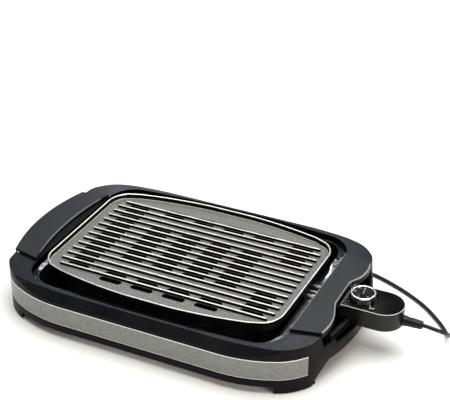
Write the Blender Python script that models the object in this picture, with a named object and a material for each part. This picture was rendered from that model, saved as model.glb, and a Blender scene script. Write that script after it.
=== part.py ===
"""Indoor electric grill: moulded base with two handle panels, cast grill plate over a drip tray,
and a plug-in temperature controller with its cord.

Metres, +Z up. The body is drawn round its own centre with the front at -Y and the controller at +X.
The grill_origin empty then moves everything so that the box of the grill is centred on X.
"""
import math
from math import cos, pi, radians, sin, sqrt

import bmesh
import bpy
from mathutils import Vector

# Body
BODY_LENGTH = 0.570
BODY_DEPTH = 0.360
SHOULDER_RADIUS = 0.194
SHOULDER_TURN = radians(25.6)
CORNER_RADIUS = 0.091
CORNER_TURN = radians(66.0)
BULGE_HEIGHT = 0.047
BULGE_TOP_INSET = 0.008
BULGE_FOOT_INSET = 0.007
BULGE_FADE_START = 0.080
BULGE_FADE_END = 0.050
FRAME_TOP = 0.077
FIT_GAP = 0.0003
OVERRUN = 0.010

# Base shell, with places measured in from the body's ends and sides
SKIRT_WALL = 0.003
SHELL_BOTTOM = 0.0015
FRONT_UNDERCUT = 0.0125
FOOT_LENGTH = 0.072
ARCH_HEIGHT = 0.0325
ARCH_IN_TOP = 0.089
ARCH_IN_FOOT = 0.058
RAIL_TOP = 0.0496
RAIL_STEP = 0.0080
RAIL_STEP_LENGTH = 0.0265
DECK_THICKNESS = 0.003
INNER_WALL_TOP = 0.0742
GRIP_SPACE = 0.0085
GRIP_WALL = 0.0045
GRIP_TOP = 0.0610
POST_WIDTH = 0.0030
POST_SETBACK = 0.0020
BLOCK_WALL = 0.0030
SHELF_TOP = 0.0682
SHELF_THICKNESS = 0.006
SHELF_LAP = 0.0029
FOOT_FLOOR_EXTRA = 0.0135
FOOT_RECESS = 0.0010

# Steel band
BAND_BOTTOM = 0.0239
BAND_TOP = 0.0587
BAND_THICKNESS = 0.0009
BAND_RETURN = 0.055

# Foot pads
PAD_RADIUS = 0.009
PAD_IN_X = 0.063
PAD_IN_Y = 0.054

# Top frame, with places measured in from the body's ends
FRAME_FRONT = 0.0140
FRAME_SIDE = 0.0707
GROOVE_HEIGHT = 0.0644
GROOVE_GAP = 0.0006
GROOVE_RISE_START = 0.120
GROOVE_RISE_END = 0.039
FACET_INSET = 0.0100
FACET_FADE_START = 0.135
FACET_FADE_END = 0.042
FRAME_WALL = 0.0025
OPENING_BOW_RADIUS = 1.400
OPENING_BOW_TURN = radians(6.0)
OPENING_CORNER_RADIUS = 0.048
INNER_RIM = 0.0045
STRIP_WIDTH = 0.0280

# Handle panels
PANEL_TOP = 0.0820
PANEL_LIP_DROP = 0.0053
PANEL_LIP_WALL = 0.0025
PANEL_EDGE_BEVEL = 0.0010
PANEL_IN = 0.0165
SEAM_BEYOND = 0.0009
SEAM_SKEW = 0.0106
SEAM_GAP = 0.0008
LEFT_BOW = 0.0140
RIGHT_EDGE_BOW = 0.0030
RECESS_DEPTH = 0.0100
RECESS_CLEARANCE = 0.0003
RECESS_FRONT_SLOPE = 0.0295
RECESS_REAR_SLOPE = 0.0175

# Screws
SCREW_RADIUS = 0.0015
SCREW_HEAD_RADIUS = 0.0030
SCREW_NECK_RADIUS = 0.0024
SCREW_HEAD_HEIGHT = 0.0018
SCREW_BITE = 0.0035
PANEL_SCREW_IN = 0.0310

# Grill plate
PLATE_FRONT_CLEARANCE = 0.0210
PLATE_SIDE_CLEARANCE = 0.0137
PLATE_BOW_RADIUS = 0.407
PLATE_BOW_TURN = radians(20.0)
PLATE_CORNER_RADIUS = 0.0346
PLATE_FLOOR = 0.0790
PLATE_THICKNESS = 0.0060
LIP_TOP = 0.0860
LIP_WIDTH = 0.0022
LIP_SLOPE = 0.0035
RIB_PITCH = 0.0159
RIB_MARGIN = 0.0340
RIB_END_MARGIN = 0.0182
RIB_END_CUT = 0.0060
RIB_TOP_WIDTH = 0.0026
RIB_BASE_WIDTH = 0.0044
RIB_HEIGHT = 0.0045
SLOT_WIDTH = 0.0076
SLOT_LENGTH = 0.0390
SLOT_SPACING = 0.0540
OUTER_SLOT_IN = 0.0531
SLOT_END_SLANT = 0.0034
SLOT_TO_RIB = 0.0006
COLD_END_HALF = 0.0400

# Heating element, in a channel under the plate
ELEMENT_RADIUS = 0.0035
ELEMENT_GAPS = 4.5
ELEMENT_CORNER_RADIUS = 0.0300
ELEMENT_EXIT_RADIUS = 0.0120
CHANNEL_WALL = 0.0024
PIN_RADIUS = 0.0025
PIN_SPREAD = 0.0140
PIN_IN = 0.0126
PIN_REACH = 0.0018
PLATE_LEG_RADIUS = 0.0050
PLATE_LEG_IN_X = 0.0366
PLATE_LEG_IN_Y = 0.0370

# Drip tray
TRAY_SIDE_CLEARANCE = 0.0043
TRAY_FRONT_CLEARANCE = 0.0040
TRAY_CORNER_RADIUS = 0.045
TRAY_FLANGE = 0.0090
TRAY_WALL = 0.0012
TRAY_BOTTOM = 0.0200
TRAY_DRAFT = 0.0120
TRAY_FLANGE_THICKNESS = 0.0015
BAY_LENGTH = 0.0420
BAY_HALF = 0.0230
BAY_LIP = 0.0012
NOTCH_DEPTH = 0.0050

# Controller
CONTROLLER_Y = 0.0095
POD_CLEARANCE = 0.0065
POD_LENGTH = 0.0885
POD_RADIUS = 0.03075
POD_BOTTOM = 0.0515
POD_TOP = 0.0810
POD_COVER = 0.0022
POD_WALL = 0.0022
NOSE_IN = 0.0020
NOSE_HALF = 0.0250
NOSE_BOTTOM = 0.0580
NOSE_TOP = 0.0714
NOSE_CLEARANCE = 0.0015
GRIP_RIB_COUNT = 7
GRIP_RIB_PITCH = 0.0042
GRIP_RIB_WIDTH = 0.0016
GRIP_RIB_DEPTH = 0.0008
GRIP_RIB_HEIGHT = 0.0090
PROBE_RADIUS = 0.0030
PROBE_CLEARANCE = 0.0060
PROBE_DROP = 0.0020
FORK_WALL = 0.0009
FORK_LAP = 0.0135
SWITCH_LENGTH = 0.0300
SWITCH_WIDTH = 0.0280
SWITCH_TOP = 0.0690
HOUSING_SCREW_IN = 0.0275
HOUSING_SCREW_SPREAD = 0.0140

# Dial
DIAL_IN = 0.0245
DIAL_TOP = 0.0912
DIAL_SKIRT_RADIUS = 0.0215
DIAL_NECK_RADIUS = 0.0197
DIAL_KNURLS = 30
DIAL_KNURL_DEPTH = 0.0008
DIAL_RUN_GAP = 0.0005
RING_RADIUS = 0.0190
RING_INNER_RADIUS = 0.0158
RING_HEIGHT = 0.0022
FACE_RECESS = 0.0009
FACE_THICKNESS = 0.0014
SHAFT_RADIUS = 0.0030

# Cord
CORD_DIAMETER = 0.0062
RELIEF_HEIGHT = 0.0600
RELIEF_LENGTH = 0.0295
RELIEF_COLLAR_RADIUS = 0.0082
RELIEF_COLLAR_LENGTH = 0.0050
RELIEF_BASE_RADIUS = 0.0076
RELIEF_TIP_RADIUS = 0.0062
COIL_X = 0.110
COIL_Y = 0.2275
COIL_OUTER_RADIUS = 0.0410
COIL_PITCH = 0.0068
COIL_TURNS = 5.0
COIL_STEPS = 24
PLUG_TAIL_X = 0.0437
PLUG_Y = 0.1960
PLUG_TAIL_LENGTH = 0.0110
PLUG_TAIL_RADIUS = 0.0052
PLUG_LENGTH = 0.0250
PLUG_GRIP_LENGTH = 0.0140
PLUG_WIDTH = 0.0240
PLUG_HEIGHT = 0.0194
PLUG_NECK_WIDTH = 0.0144
PLUG_NECK_HEIGHT = 0.0136
PLUG_CHAMFER = 0.0030
BLADE_LENGTH = 0.0170
BLADE_WIDTH = 0.0063
BLADE_THICKNESS = 0.0015
BLADE_SPREAD = 0.0127

# Places worked out from the sizes above
HALF_LENGTH = BODY_LENGTH / 2
HALF_DEPTH = BODY_DEPTH / 2
OPENING_LENGTH = BODY_LENGTH - 2 * FRAME_SIDE
OPENING_DEPTH = BODY_DEPTH - 2 * FRAME_FRONT
INNER_WALL_X = OPENING_LENGTH / 2 + FRAME_WALL + FIT_GAP
STRIP_OUTER_X = OPENING_LENGTH / 2 + STRIP_WIDTH
SEAM_INNER_Y = (OPENING_DEPTH / 2 - OPENING_BOW_RADIUS * (1 - cos(OPENING_BOW_TURN))
                - OPENING_CORNER_RADIUS * cos(OPENING_BOW_TURN) + SEAM_BEYOND)
SEAM_OUTER_Y = SEAM_INNER_Y - SEAM_SKEW
RAIL_LOW_HALF = SEAM_OUTER_Y - RAIL_STEP_LENGTH
GRIP_HALF = RAIL_LOW_HALF - POST_SETBACK - POST_WIDTH
EDGE_X = HALF_LENGTH - BULGE_TOP_INSET - PANEL_IN
RECESS_X = EDGE_X - RECESS_DEPTH
RECESS_HALF = POD_RADIUS + RECESS_CLEARANCE
PANEL_UNDERSIDE = FRAME_TOP + FIT_GAP
BAND_RECESS = BAND_THICKNESS + FIT_GAP
PLATE_LENGTH = OPENING_LENGTH - 2 * PLATE_SIDE_CLEARANCE
PLATE_DEPTH = OPENING_DEPTH - 2 * PLATE_FRONT_CLEARANCE
PLATE_UNDERSIDE = PLATE_FLOOR - PLATE_THICKNESS
RIB_COUNT = 2 * round((PLATE_DEPTH / 2 - RIB_MARGIN) / RIB_PITCH)
RIB_HALF_LENGTH = PLATE_LENGTH / 2 - RIB_END_MARGIN
OUTER_SLOT_X = PLATE_LENGTH / 2 - OUTER_SLOT_IN
ELEMENT_HALF_LENGTH = (1.5 * SLOT_SPACING + OUTER_SLOT_X) / 2
ELEMENT_HALF_DEPTH = ELEMENT_GAPS * RIB_PITCH
ELEMENT_HEIGHT = PLATE_UNDERSIDE - FIT_GAP - ELEMENT_RADIUS
CHANNEL_HALF = ELEMENT_RADIUS + FIT_GAP + CHANNEL_WALL
PIN_START_X = PLATE_LENGTH / 2 - PIN_IN
PIN_REACH_X = OPENING_LENGTH / 2 - PIN_REACH
TRAY_LENGTH = OPENING_LENGTH - 2 * TRAY_SIDE_CLEARANCE
TRAY_DEPTH = OPENING_DEPTH - 2 * TRAY_FRONT_CLEARANCE
TRAY_TOP = SHELF_TOP + FIT_GAP + TRAY_FLANGE_THICKNESS
TRAY_DIAGONAL = (TRAY_LENGTH + TRAY_DEPTH) / 2 - (2 - sqrt(2)) * TRAY_CORNER_RADIUS
SHELF_REACH = TRAY_DIAGONAL - sqrt(2) * SHELF_LAP
FOOT_FLOOR_REACH = SHELF_REACH - FOOT_FLOOR_EXTRA
BAY_INNER_X = TRAY_LENGTH / 2 - BAY_LENGTH
POD_START_X = RECESS_X + POD_CLEARANCE
POD_END_X = POD_START_X + POD_LENGTH
COVER_BOTTOM = POD_TOP - POD_COVER
NOSE_START_X = OPENING_LENGTH / 2 + NOSE_IN
PROBE_END_X = BAY_INNER_X + PROBE_CLEARANCE
FORK_END_X = PIN_REACH_X - FORK_LAP
SWITCH_BOTTOM = POD_BOTTOM + POD_WALL + FIT_GAP
DIAL_X = POD_START_X + DIAL_IN
HOUSING_SCREW_X = POD_END_X - HOUSING_SCREW_IN
RELIEF_END_X = POD_END_X + RELIEF_LENGTH
SHIFT_X = -(RELIEF_END_X - HALF_LENGTH) / 2
CORD_RADIUS = CORD_DIAMETER / 2
COIL_LOW = CORD_RADIUS + FIT_GAP
COIL_HIGH = COIL_LOW + COIL_PITCH

# Points that the free cord passes through, from the strain relief to the coil
CORD_ROUTE = [
    (0.3753, 0.0095, 0.0600), (0.3815, 0.0095, 0.0598), (0.3930, 0.0100, 0.0580), (0.4030, 0.0135, 0.0540),
    (0.4085, 0.0225, 0.0470), (0.4085, 0.0370, 0.0350), (0.4040, 0.0550, 0.0200), (0.3970, 0.0740, 0.0085),
    (0.3880, 0.0900, 0.0042), (0.3770, 0.1040, 0.0034), (0.3640, 0.1170, 0.0034), (0.3490, 0.1310, 0.0034),
    (0.3320, 0.1440, 0.0034), (0.3110, 0.1570, 0.0034), (0.2860, 0.1700, 0.0034), (0.2630, 0.1800, 0.0034),
    (0.2390, 0.1880, 0.0034), (0.2100, 0.1930, 0.0034), (0.1750, 0.1925, 0.0034), (0.1420, 0.1885, 0.0034),
    (0.1230, 0.1865, 0.0034), (0.1165, 0.1865, 0.0034),
]
# Points of the short stretch from the coil's upper end to the plug
LEAD_ROUTE = [
    (0.1035, 0.1865, 0.0102), (0.0970, 0.1865, 0.0102), (0.0850, 0.1876, 0.0102), (0.0720, 0.1910, 0.0100),
    (0.0600, 0.1945, 0.0099), (0.0500, 0.1960, 0.0099), (0.0440, 0.1960, 0.0099),
]


def clear_scene():
    for obj in list(bpy.data.objects):
        bpy.data.objects.remove(obj, do_unlink=True)


def make_material(name, colour, roughness, metallic):
    material = bpy.data.materials.new(name)
    material.use_nodes = True
    shader = material.node_tree.nodes["Principled BSDF"]
    shader.inputs["Base Color"].default_value = (*colour, 1.0)
    shader.inputs["Roughness"].default_value = roughness
    shader.inputs["Metallic"].default_value = metallic
    return material


FINISHES = {
    "black_plastic": ((0.030, 0.031, 0.034), 0.45, 0.0),
    "panel_plastic": ((0.052, 0.053, 0.056), 0.55, 0.0),
    "gloss_black": ((0.012, 0.012, 0.013), 0.12, 0.0),
    "brushed_steel": ((0.42, 0.41, 0.39), 0.35, 1.0),
    "nonstick": ((0.30, 0.30, 0.29), 0.50, 0.4),
    "enamel": ((0.012, 0.012, 0.012), 0.18, 0.0),
    "sheath": ((0.20, 0.19, 0.18), 0.40, 1.0),
    "nickel": ((0.60, 0.58, 0.54), 0.25, 1.0),
    "chrome": ((0.80, 0.80, 0.80), 0.08, 1.0),
    "rubber": ((0.020, 0.020, 0.020), 0.80, 0.0),
    "phenolic": ((0.10, 0.07, 0.05), 0.60, 0.0),
    "cord_black": ((0.018, 0.018, 0.018), 0.50, 0.0),
}
MATERIALS = {}


def finish(name):
    if name not in MATERIALS:
        MATERIALS[name] = make_material(name, *FINISHES[name])
    return MATERIALS[name]


def from_bmesh(name, bm, material=None, smooth=None):
    bmesh.ops.recalc_face_normals(bm, faces=bm.faces)
    mesh = bpy.data.meshes.new(name)
    bm.to_mesh(mesh)
    bm.free()
    obj = bpy.data.objects.new(name, mesh)
    bpy.context.collection.objects.link(obj)
    if material:
        mesh.materials.append(finish(material))
    if smooth is not None:
        mesh.shade_smooth()
        mesh.set_sharp_from_angle(angle=smooth)
    return obj


def loft(name, loops, material=None, closed=False, smooth=None):
    """Skin a list of point loops of equal length. A closed loft joins its last loop to its first."""
    bm = bmesh.new()
    rings = [[bm.verts.new(p) for p in loop] for loop in loops]
    pairs = list(zip(rings, rings[1:]))
    if closed:
        pairs.append((rings[-1], rings[0]))
    else:
        bm.faces.new(rings[0])
        bm.faces.new(rings[-1])
    for low, high in pairs:
        for i in range(len(low)):
            j = (i + 1) % len(low)
            bm.faces.new((low[i], low[j], high[j], high[i]))
    return from_bmesh(name, bm, material, smooth)


def at_height(loop, z):
    return [(p[0], p[1], z) for p in loop]


def prism(name, loop, bottom, top, material=None, smooth=None):
    return loft(name, [at_height(loop, bottom), at_height(loop, top)], material, smooth=smooth)


def box(name, low, high, material=None):
    corners = [(low[0], low[1]), (high[0], low[1]), (high[0], high[1]), (low[0], high[1])]
    return prism(name, corners, low[2], high[2], material)


def circle(x, y, radius, steps):
    return [(x + radius * cos(2 * pi * i / steps), y + radius * sin(2 * pi * i / steps)) for i in range(steps)]


def turned_x(name, sections, y, z, steps, material=None):
    """A body turned round an axis along X, from (x, radius) sections."""
    loops = []
    for x, radius in sections:
        loops.append([(x, y + radius * cos(2 * pi * i / steps), z + radius * sin(2 * pi * i / steps))
                      for i in range(steps)])
    return loft(name, loops, material, smooth=radians(40))


def boolean(target, tools, operation):
    """Apply a Boolean of the tools to the target, then remove the tools."""
    for tool in tools:
        modifier = target.modifiers.new(operation, "BOOLEAN")
        modifier.operation = operation
        modifier.object = tool
    depsgraph = bpy.context.evaluated_depsgraph_get()
    mesh = bpy.data.meshes.new_from_object(target.evaluated_get(depsgraph))
    target.modifiers.clear()
    target.data = mesh
    for tool in tools:
        bpy.data.objects.remove(tool, do_unlink=True)
    return target


def cut(target, *tools):
    return boolean(target, tools, "DIFFERENCE")


def join(target, *tools):
    return boolean(target, tools, "UNION")


def sharpen(obj, angle=radians(35)):
    obj.data.shade_smooth()
    obj.data.set_sharp_from_angle(angle=angle)


def quarter(half_length, half_depth, arcs, inset=0.0, side_steps=0):
    """Front-right quarter of an outline, from the end of its front flat to the middle of its side.

    Each arc is (radius, turn at its end, steps). A radius of None fills the depth that is left.
    """
    x = 0.0
    y = -half_depth + inset
    turn = 0.0
    run = []
    for radius, end, steps in arcs:
        if radius is None:
            radius = -y / (cos(turn) - cos(end)) + inset
        reach = radius - inset
        for i in range(1, steps + 1):
            a = turn + (end - turn) * i / steps
            run.append((x + reach * (sin(a) - sin(turn)), y + reach * (cos(turn) - cos(a))))
        x, y = run[-1]
        turn = end
    flat = half_length - inset - x
    points = [(flat, -half_depth + inset)] + [(flat + px, py) for px, py in run]
    end_y = points[-1][1]
    for i in range(1, side_steps + 1):
        points.append((half_length - inset, end_y * (1 - i / side_steps)))
    return points


def full_loop(points):
    """Mirror a quarter that ends on the X axis into a whole loop."""
    half = points + [(x, -y) for x, y in reversed(points[:-1])]
    return half + [(-x, y) for x, y in reversed(half)]


BODY_ARCS = [(SHOULDER_RADIUS, SHOULDER_TURN, 5), (CORNER_RADIUS, CORNER_TURN, 8), (None, pi / 2, 7)]


def body_loop(inset=0.0):
    return full_loop(quarter(HALF_LENGTH, HALF_DEPTH, BODY_ARCS, inset))


def opening_loop(inset=0.0):
    arcs = [(OPENING_BOW_RADIUS, OPENING_BOW_TURN, 5), (OPENING_CORNER_RADIUS, pi / 2, 8)]
    return full_loop(quarter(OPENING_LENGTH / 2, OPENING_DEPTH / 2, arcs, inset, side_steps=7))


def plate_loop(inset=0.0):
    arcs = [(PLATE_BOW_RADIUS, PLATE_BOW_TURN, 6), (PLATE_CORNER_RADIUS, pi / 2, 8)]
    return full_loop(quarter(PLATE_LENGTH / 2, PLATE_DEPTH / 2, arcs, inset, side_steps=1))


def ease(value, start, end):
    t = min(max((value - start) / (end - start), 0), 1)
    return t * t * (3 - 2 * t)


def barrel(z):
    """How far the side walls stand in from their widest line at a height."""
    if z > BULGE_HEIGHT:
        return BULGE_TOP_INSET * ((z - BULGE_HEIGHT) / (FRAME_TOP - BULGE_HEIGHT)) ** 2
    return BULGE_FOOT_INSET * ((BULGE_HEIGHT - z) / BULGE_HEIGHT) ** 2


def on_body(loop, height):
    """Lift an outline onto the barrel-shaped body. Height is a value or a function of the point."""
    placed = []
    fade_start, fade_end = HALF_DEPTH - BULGE_FADE_START, HALF_DEPTH - BULGE_FADE_END
    for x, y in loop:
        z = height(x, y) if callable(height) else height
        shift = barrel(z) * (1 - ease(abs(y), fade_start, fade_end))
        placed.append((x - math.copysign(shift, x), y, z))
    return placed


def groove_height(x, y):
    rise = ease(abs(x), HALF_LENGTH - GROOVE_RISE_START, HALF_LENGTH - GROOVE_RISE_END)
    return GROOVE_HEIGHT + (FRAME_TOP - FRAME_WALL - GROOVE_HEIGHT) * rise


def side_outline(side, half_y, inset):
    """Points of the body's side between -half_y and half_y, front to rear for the right side."""
    points = [(x, y) for x, y in body_loop(inset) if x > 0 and abs(y) < half_y]
    reach = HALF_LENGTH - inset
    radius = (HALF_DEPTH - SHOULDER_RADIUS * (1 - cos(SHOULDER_TURN))
              - CORNER_RADIUS * (cos(SHOULDER_TURN) - cos(CORNER_TURN))) / cos(CORNER_TURN) - inset
    end_x = reach - radius + sqrt(radius ** 2 - half_y ** 2)
    points = [(end_x, -half_y)] + points + [(end_x, half_y)]
    return [(side * x, y) for x, y in points]


def skirt():
    heights = [SHELL_BOTTOM, FRONT_UNDERCUT, ARCH_HEIGHT, BULGE_HEIGHT]
    top = lambda x, y: groove_height(x, y) - GROOVE_GAP
    outer = [on_body(body_loop(), z) for z in heights] + [on_body(body_loop(), top)]
    inner = [on_body(body_loop(SKIRT_WALL), top)]
    inner += [on_body(body_loop(SKIRT_WALL), z) for z in reversed(heights)]
    return loft("base_shell", outer + inner, "black_plastic", closed=True)


def corner_shelf(name, sx, sy, reach, bottom, top):
    """A flat shelf across one corner of the shell, cut off along the line |x| + |y| = reach."""
    edge = [(x, y) for x, y in body_loop(SKIRT_WALL / 2) if x * sx > 0 and y * sy > 0
            and abs(x) + abs(y) > reach and abs(y) > HALF_DEPTH - (BULGE_FADE_START + BULGE_FADE_END) / 2
            and groove_height(x, y) > top + 2 * GROOVE_GAP]
    first, last = edge[0], edge[-1]
    ends = []
    for x, y in (last, first):
        if abs(x) > abs(y):
            ends.append((math.copysign(reach - abs(y), x), y))
        else:
            ends.append((x, math.copysign(reach - abs(x), y)))
    return prism(name, edge + ends, bottom, top)


def side_cut(name, half_y, low, high):
    """Slab right through both sides of the body, |y| < half_y, kept clear of the middle."""
    tools = []
    for side in (1, -1):
        inner = side * (INNER_WALL_X + DECK_THICKNESS)
        outer = side * (HALF_LENGTH + OVERRUN)
        tools.append(box(name, (min(inner, outer), -half_y, low), (max(inner, outer), half_y, high)))
    return tools


def build_base():
    shell = skirt()
    foot_start = HALF_LENGTH - FOOT_LENGTH
    undercut = box("cutter", (-foot_start, -HALF_DEPTH - OVERRUN, -OVERRUN),
                   (foot_start, HALF_DEPTH + OVERRUN, FRONT_UNDERCUT))
    foot, crown = HALF_DEPTH - ARCH_IN_FOOT, HALF_DEPTH - ARCH_IN_TOP
    arch_profile = [(-foot, -OVERRUN), (foot, -OVERRUN), (foot, SHELL_BOTTOM), (crown, ARCH_HEIGHT),
                    (-crown, ARCH_HEIGHT), (-foot, SHELL_BOTTOM)]
    reach = HALF_LENGTH + OVERRUN
    arch = loft("cutter", [[(x, y, z) for y, z in arch_profile] for x in (-reach, reach)])
    cut(shell, arch)
    cut(shell, *side_cut("cutter", SEAM_OUTER_Y, RAIL_TOP + RAIL_STEP, FRAME_TOP + OVERRUN))
    cut(shell, *side_cut("cutter", RAIL_LOW_HALF, RAIL_TOP, FRAME_TOP + OVERRUN))
    cut(shell, band_solid("cutter", BAND_RECESS, SKIRT_WALL, FIT_GAP))

    for sx in (1, -1):
        for sy in (1, -1):
            floor = SHELL_BOTTOM + FOOT_RECESS
            join(shell, corner_shelf("shelf", sx, sy, SHELF_REACH, SHELF_TOP - SHELF_THICKNESS, SHELF_TOP))
            join(shell, corner_shelf("floor", sx, sy, FOOT_FLOOR_REACH, floor, floor + DECK_THICKNESS))
    cut(shell, undercut)
    sharpen(shell)
    return shell


def build_liner(side, name):
    """Moulding inside one handle: deck, inner wall, end walls, posts and the low wall behind the rail."""
    inset = SKIRT_WALL + FIT_GAP
    inner_x = side * INNER_WALL_X
    rim = side_outline(side, SEAM_OUTER_Y, inset)
    deck = [(inner_x, -SEAM_OUTER_Y)] + on_rail(rim) + [(inner_x, SEAM_OUTER_Y)]
    liner = prism(name, deck, ARCH_HEIGHT, ARCH_HEIGHT + DECK_THICKNESS, "black_plastic")
    wall_x = sorted((inner_x, inner_x + side * DECK_THICKNESS))
    wall_half = SEAM_OUTER_Y - BLOCK_WALL / 2
    parts = [box("wall", (wall_x[0], -wall_half, ARCH_HEIGHT + DECK_THICKNESS / 2),
                 (wall_x[1], wall_half, INNER_WALL_TOP))]
    for end in (1, -1):
        block_x = sorted((inner_x + side * DECK_THICKNESS / 2, on_rail(rim)[0][0] - side * BULGE_TOP_INSET))
        block_y = sorted((end * SEAM_OUTER_Y, end * (SEAM_OUTER_Y - BLOCK_WALL)))
        parts.append(box("block", (block_x[0], block_y[0], ARCH_HEIGHT), (block_x[1], block_y[1], INNER_WALL_TOP)))
        post_x = sorted((inner_x + side * DECK_THICKNESS / 2, side * (EDGE_X - PANEL_LIP_WALL - 2 * FIT_GAP)))
        post_y = sorted((end * GRIP_HALF, end * (GRIP_HALF + POST_WIDTH)))
        parts.append(box("post", (post_x[0], post_y[0], ARCH_HEIGHT), (post_x[1], post_y[1], INNER_WALL_TOP)))
    parts.append(grip_wall(side))
    for part in parts:
        join(liner, part)
    if side > 0:
        half = NOSE_HALF + NOSE_CLEARANCE
        dock = box("cutter", (INNER_WALL_X - OVERRUN, CONTROLLER_Y - half, NOSE_BOTTOM - NOSE_CLEARANCE),
                   (HALF_LENGTH, CONTROLLER_Y + half, FRAME_TOP))
        half = POD_RADIUS + NOSE_CLEARANCE
        pod_room = box("cutter", (POD_START_X - NOSE_CLEARANCE, CONTROLLER_Y - half, RAIL_TOP),
                       (HALF_LENGTH, CONTROLLER_Y + half, FRAME_TOP))
        cut(liner, dock, pod_room)
    sharpen(liner)
    return liner


def on_rail(rim):
    """Draw the deck's rim in where the barrel shape narrows below its widest line."""
    low = barrel(ARCH_HEIGHT)
    return [(x - math.copysign(low, x), y) for x, y in rim]


def grip_wall(side):
    """Low curved wall that the fingers close on."""
    outer = side_outline(side, GRIP_HALF + POST_WIDTH / 2, SKIRT_WALL + GRIP_SPACE)
    inner = side_outline(side, GRIP_HALF + POST_WIDTH / 2, SKIRT_WALL + GRIP_SPACE + GRIP_WALL)
    return prism("grip", outer + inner[::-1], ARCH_HEIGHT + DECK_THICKNESS / 2, GRIP_TOP)


def band_solid(name, depth, thickness, clearance, material=None):
    """Strip of the body's outline round the front, from one front corner to the other."""
    def strip(inset):
        loop = body_loop(inset)
        front = [p for p in loop if p[1] < BAND_RETURN - HALF_DEPTH - clearance]
        right = sorted((p for p in front if p[0] > 0), key=lambda p: p[0])
        left = sorted((p for p in front if p[0] < 0), key=lambda p: p[0])
        return left + right
    outer = strip(depth - thickness)
    inner = strip(depth)
    section = outer + inner[::-1]
    return prism(name, section, BAND_BOTTOM - clearance, BAND_TOP + clearance, material)


def build_band():
    band = band_solid("steel_band", BAND_RECESS - FIT_GAP, BAND_THICKNESS, 0.0, "brushed_steel")
    sharpen(band)
    return band


def build_top_frame():
    fade_start, fade_end = HALF_LENGTH - FACET_FADE_START, HALF_LENGTH - FACET_FADE_END
    facet = lambda x, y: FACET_INSET * (1 - ease(abs(x), fade_start, fade_end))
    outer = body_loop()
    faceted = [(x, y - math.copysign(facet(x, y), y)) for x, y in outer]
    lined = [(x, y - math.copysign(facet(x, y), y)) for x, y in body_loop(SKIRT_WALL)]
    rim_low = FRAME_TOP - INNER_RIM
    under = FRAME_TOP - FRAME_WALL
    shallow = lambda x, y: min(groove_height(x, y), under)
    loops = [
        on_body(outer, groove_height),
        [(x, y, FRAME_TOP) for x, y, z in on_body(faceted, FRAME_TOP)],
        at_height(opening_loop(), FRAME_TOP),
        at_height(opening_loop(), rim_low),
        at_height(opening_loop(-FRAME_WALL), rim_low),
        at_height(opening_loop(-FRAME_WALL), under - FIT_GAP),
        [(x, y, under - FIT_GAP) for x, y, z in on_body(lined, FRAME_TOP)],
        [(x, y, min(z, under - FIT_GAP)) for x, y, z in on_body(body_loop(SKIRT_WALL), shallow)],
    ]
    frame = loft("top_frame", loops, "black_plastic", closed=True)
    tools = []
    for side in (1, -1):
        reach = side * (HALF_LENGTH + OVERRUN)
        slope = SEAM_SKEW / (EDGE_X - OPENING_LENGTH / 2)
        strip_y = SEAM_INNER_Y - slope * STRIP_WIDTH
        far_y = SEAM_INNER_Y - slope * (HALF_LENGTH + OVERRUN - OPENING_LENGTH / 2)
        window = [(side * STRIP_OUTER_X, -strip_y), (reach, -far_y), (reach, far_y),
                  (side * STRIP_OUTER_X, strip_y)]
        tools.append(prism("cutter", window, GROOVE_HEIGHT - OVERRUN, FRAME_TOP + OVERRUN))
    cut(frame, *tools)
    holes = [screw_hole(x, y, rim_low - OVERRUN, FRAME_TOP + OVERRUN) for x, y in panel_screws()]
    cut(frame, *holes)
    sharpen(frame)
    return frame


def panel_screws():
    x = OPENING_LENGTH / 2 + STRIP_WIDTH / 2
    y = SEAM_INNER_Y - PANEL_SCREW_IN
    return [(sx * x, sy * y) for sx in (1, -1) for sy in (1, -1)]


def screw_hole(x, y, bottom, top):
    return prism("cutter", circle(x, y, SCREW_RADIUS + FIT_GAP, 10), bottom, top)


def arc_between(start, end, bow, steps):
    """Points between two ends along a bow whose height is taken along +X."""
    points = []
    for i in range(steps + 1):
        t = i / steps
        x = start[0] + (end[0] - start[0]) * t + bow * 4 * t * (1 - t)
        points.append((x, start[1] + (end[1] - start[1]) * t))
    return points


def panel_outline(side, trim=0.0):
    """Outline of a handle panel. Trim draws its outer edge in."""
    inner_x = OPENING_LENGTH / 2
    gap = SEAM_GAP
    if side < 0:
        edge = EDGE_X - trim
        outer = arc_between((edge, -SEAM_OUTER_Y + gap), (edge, SEAM_OUTER_Y - gap), PANEL_IN, 12)
        inner = arc_between((inner_x, SEAM_INNER_Y - gap), (inner_x, -SEAM_INNER_Y + gap), LEFT_BOW, 12)
        return [(-x, y) for x, y in outer + inner]
    edge = EDGE_X - trim
    low, high = CONTROLLER_Y - RECESS_HALF, CONTROLLER_Y + RECESS_HALF
    front = arc_between((edge, -SEAM_OUTER_Y + gap), (edge, low - RECESS_FRONT_SLOPE), RIGHT_EDGE_BOW, 4)
    rear = arc_between((edge, high + RECESS_REAR_SLOPE), (edge, SEAM_OUTER_Y - gap), RIGHT_EDGE_BOW, 4)
    recess = [(RECESS_X - trim, low), (RECESS_X - trim, high)]
    return front + recess + rear + [(inner_x, SEAM_INNER_Y - gap), (inner_x, -SEAM_INNER_Y + gap)]


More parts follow.
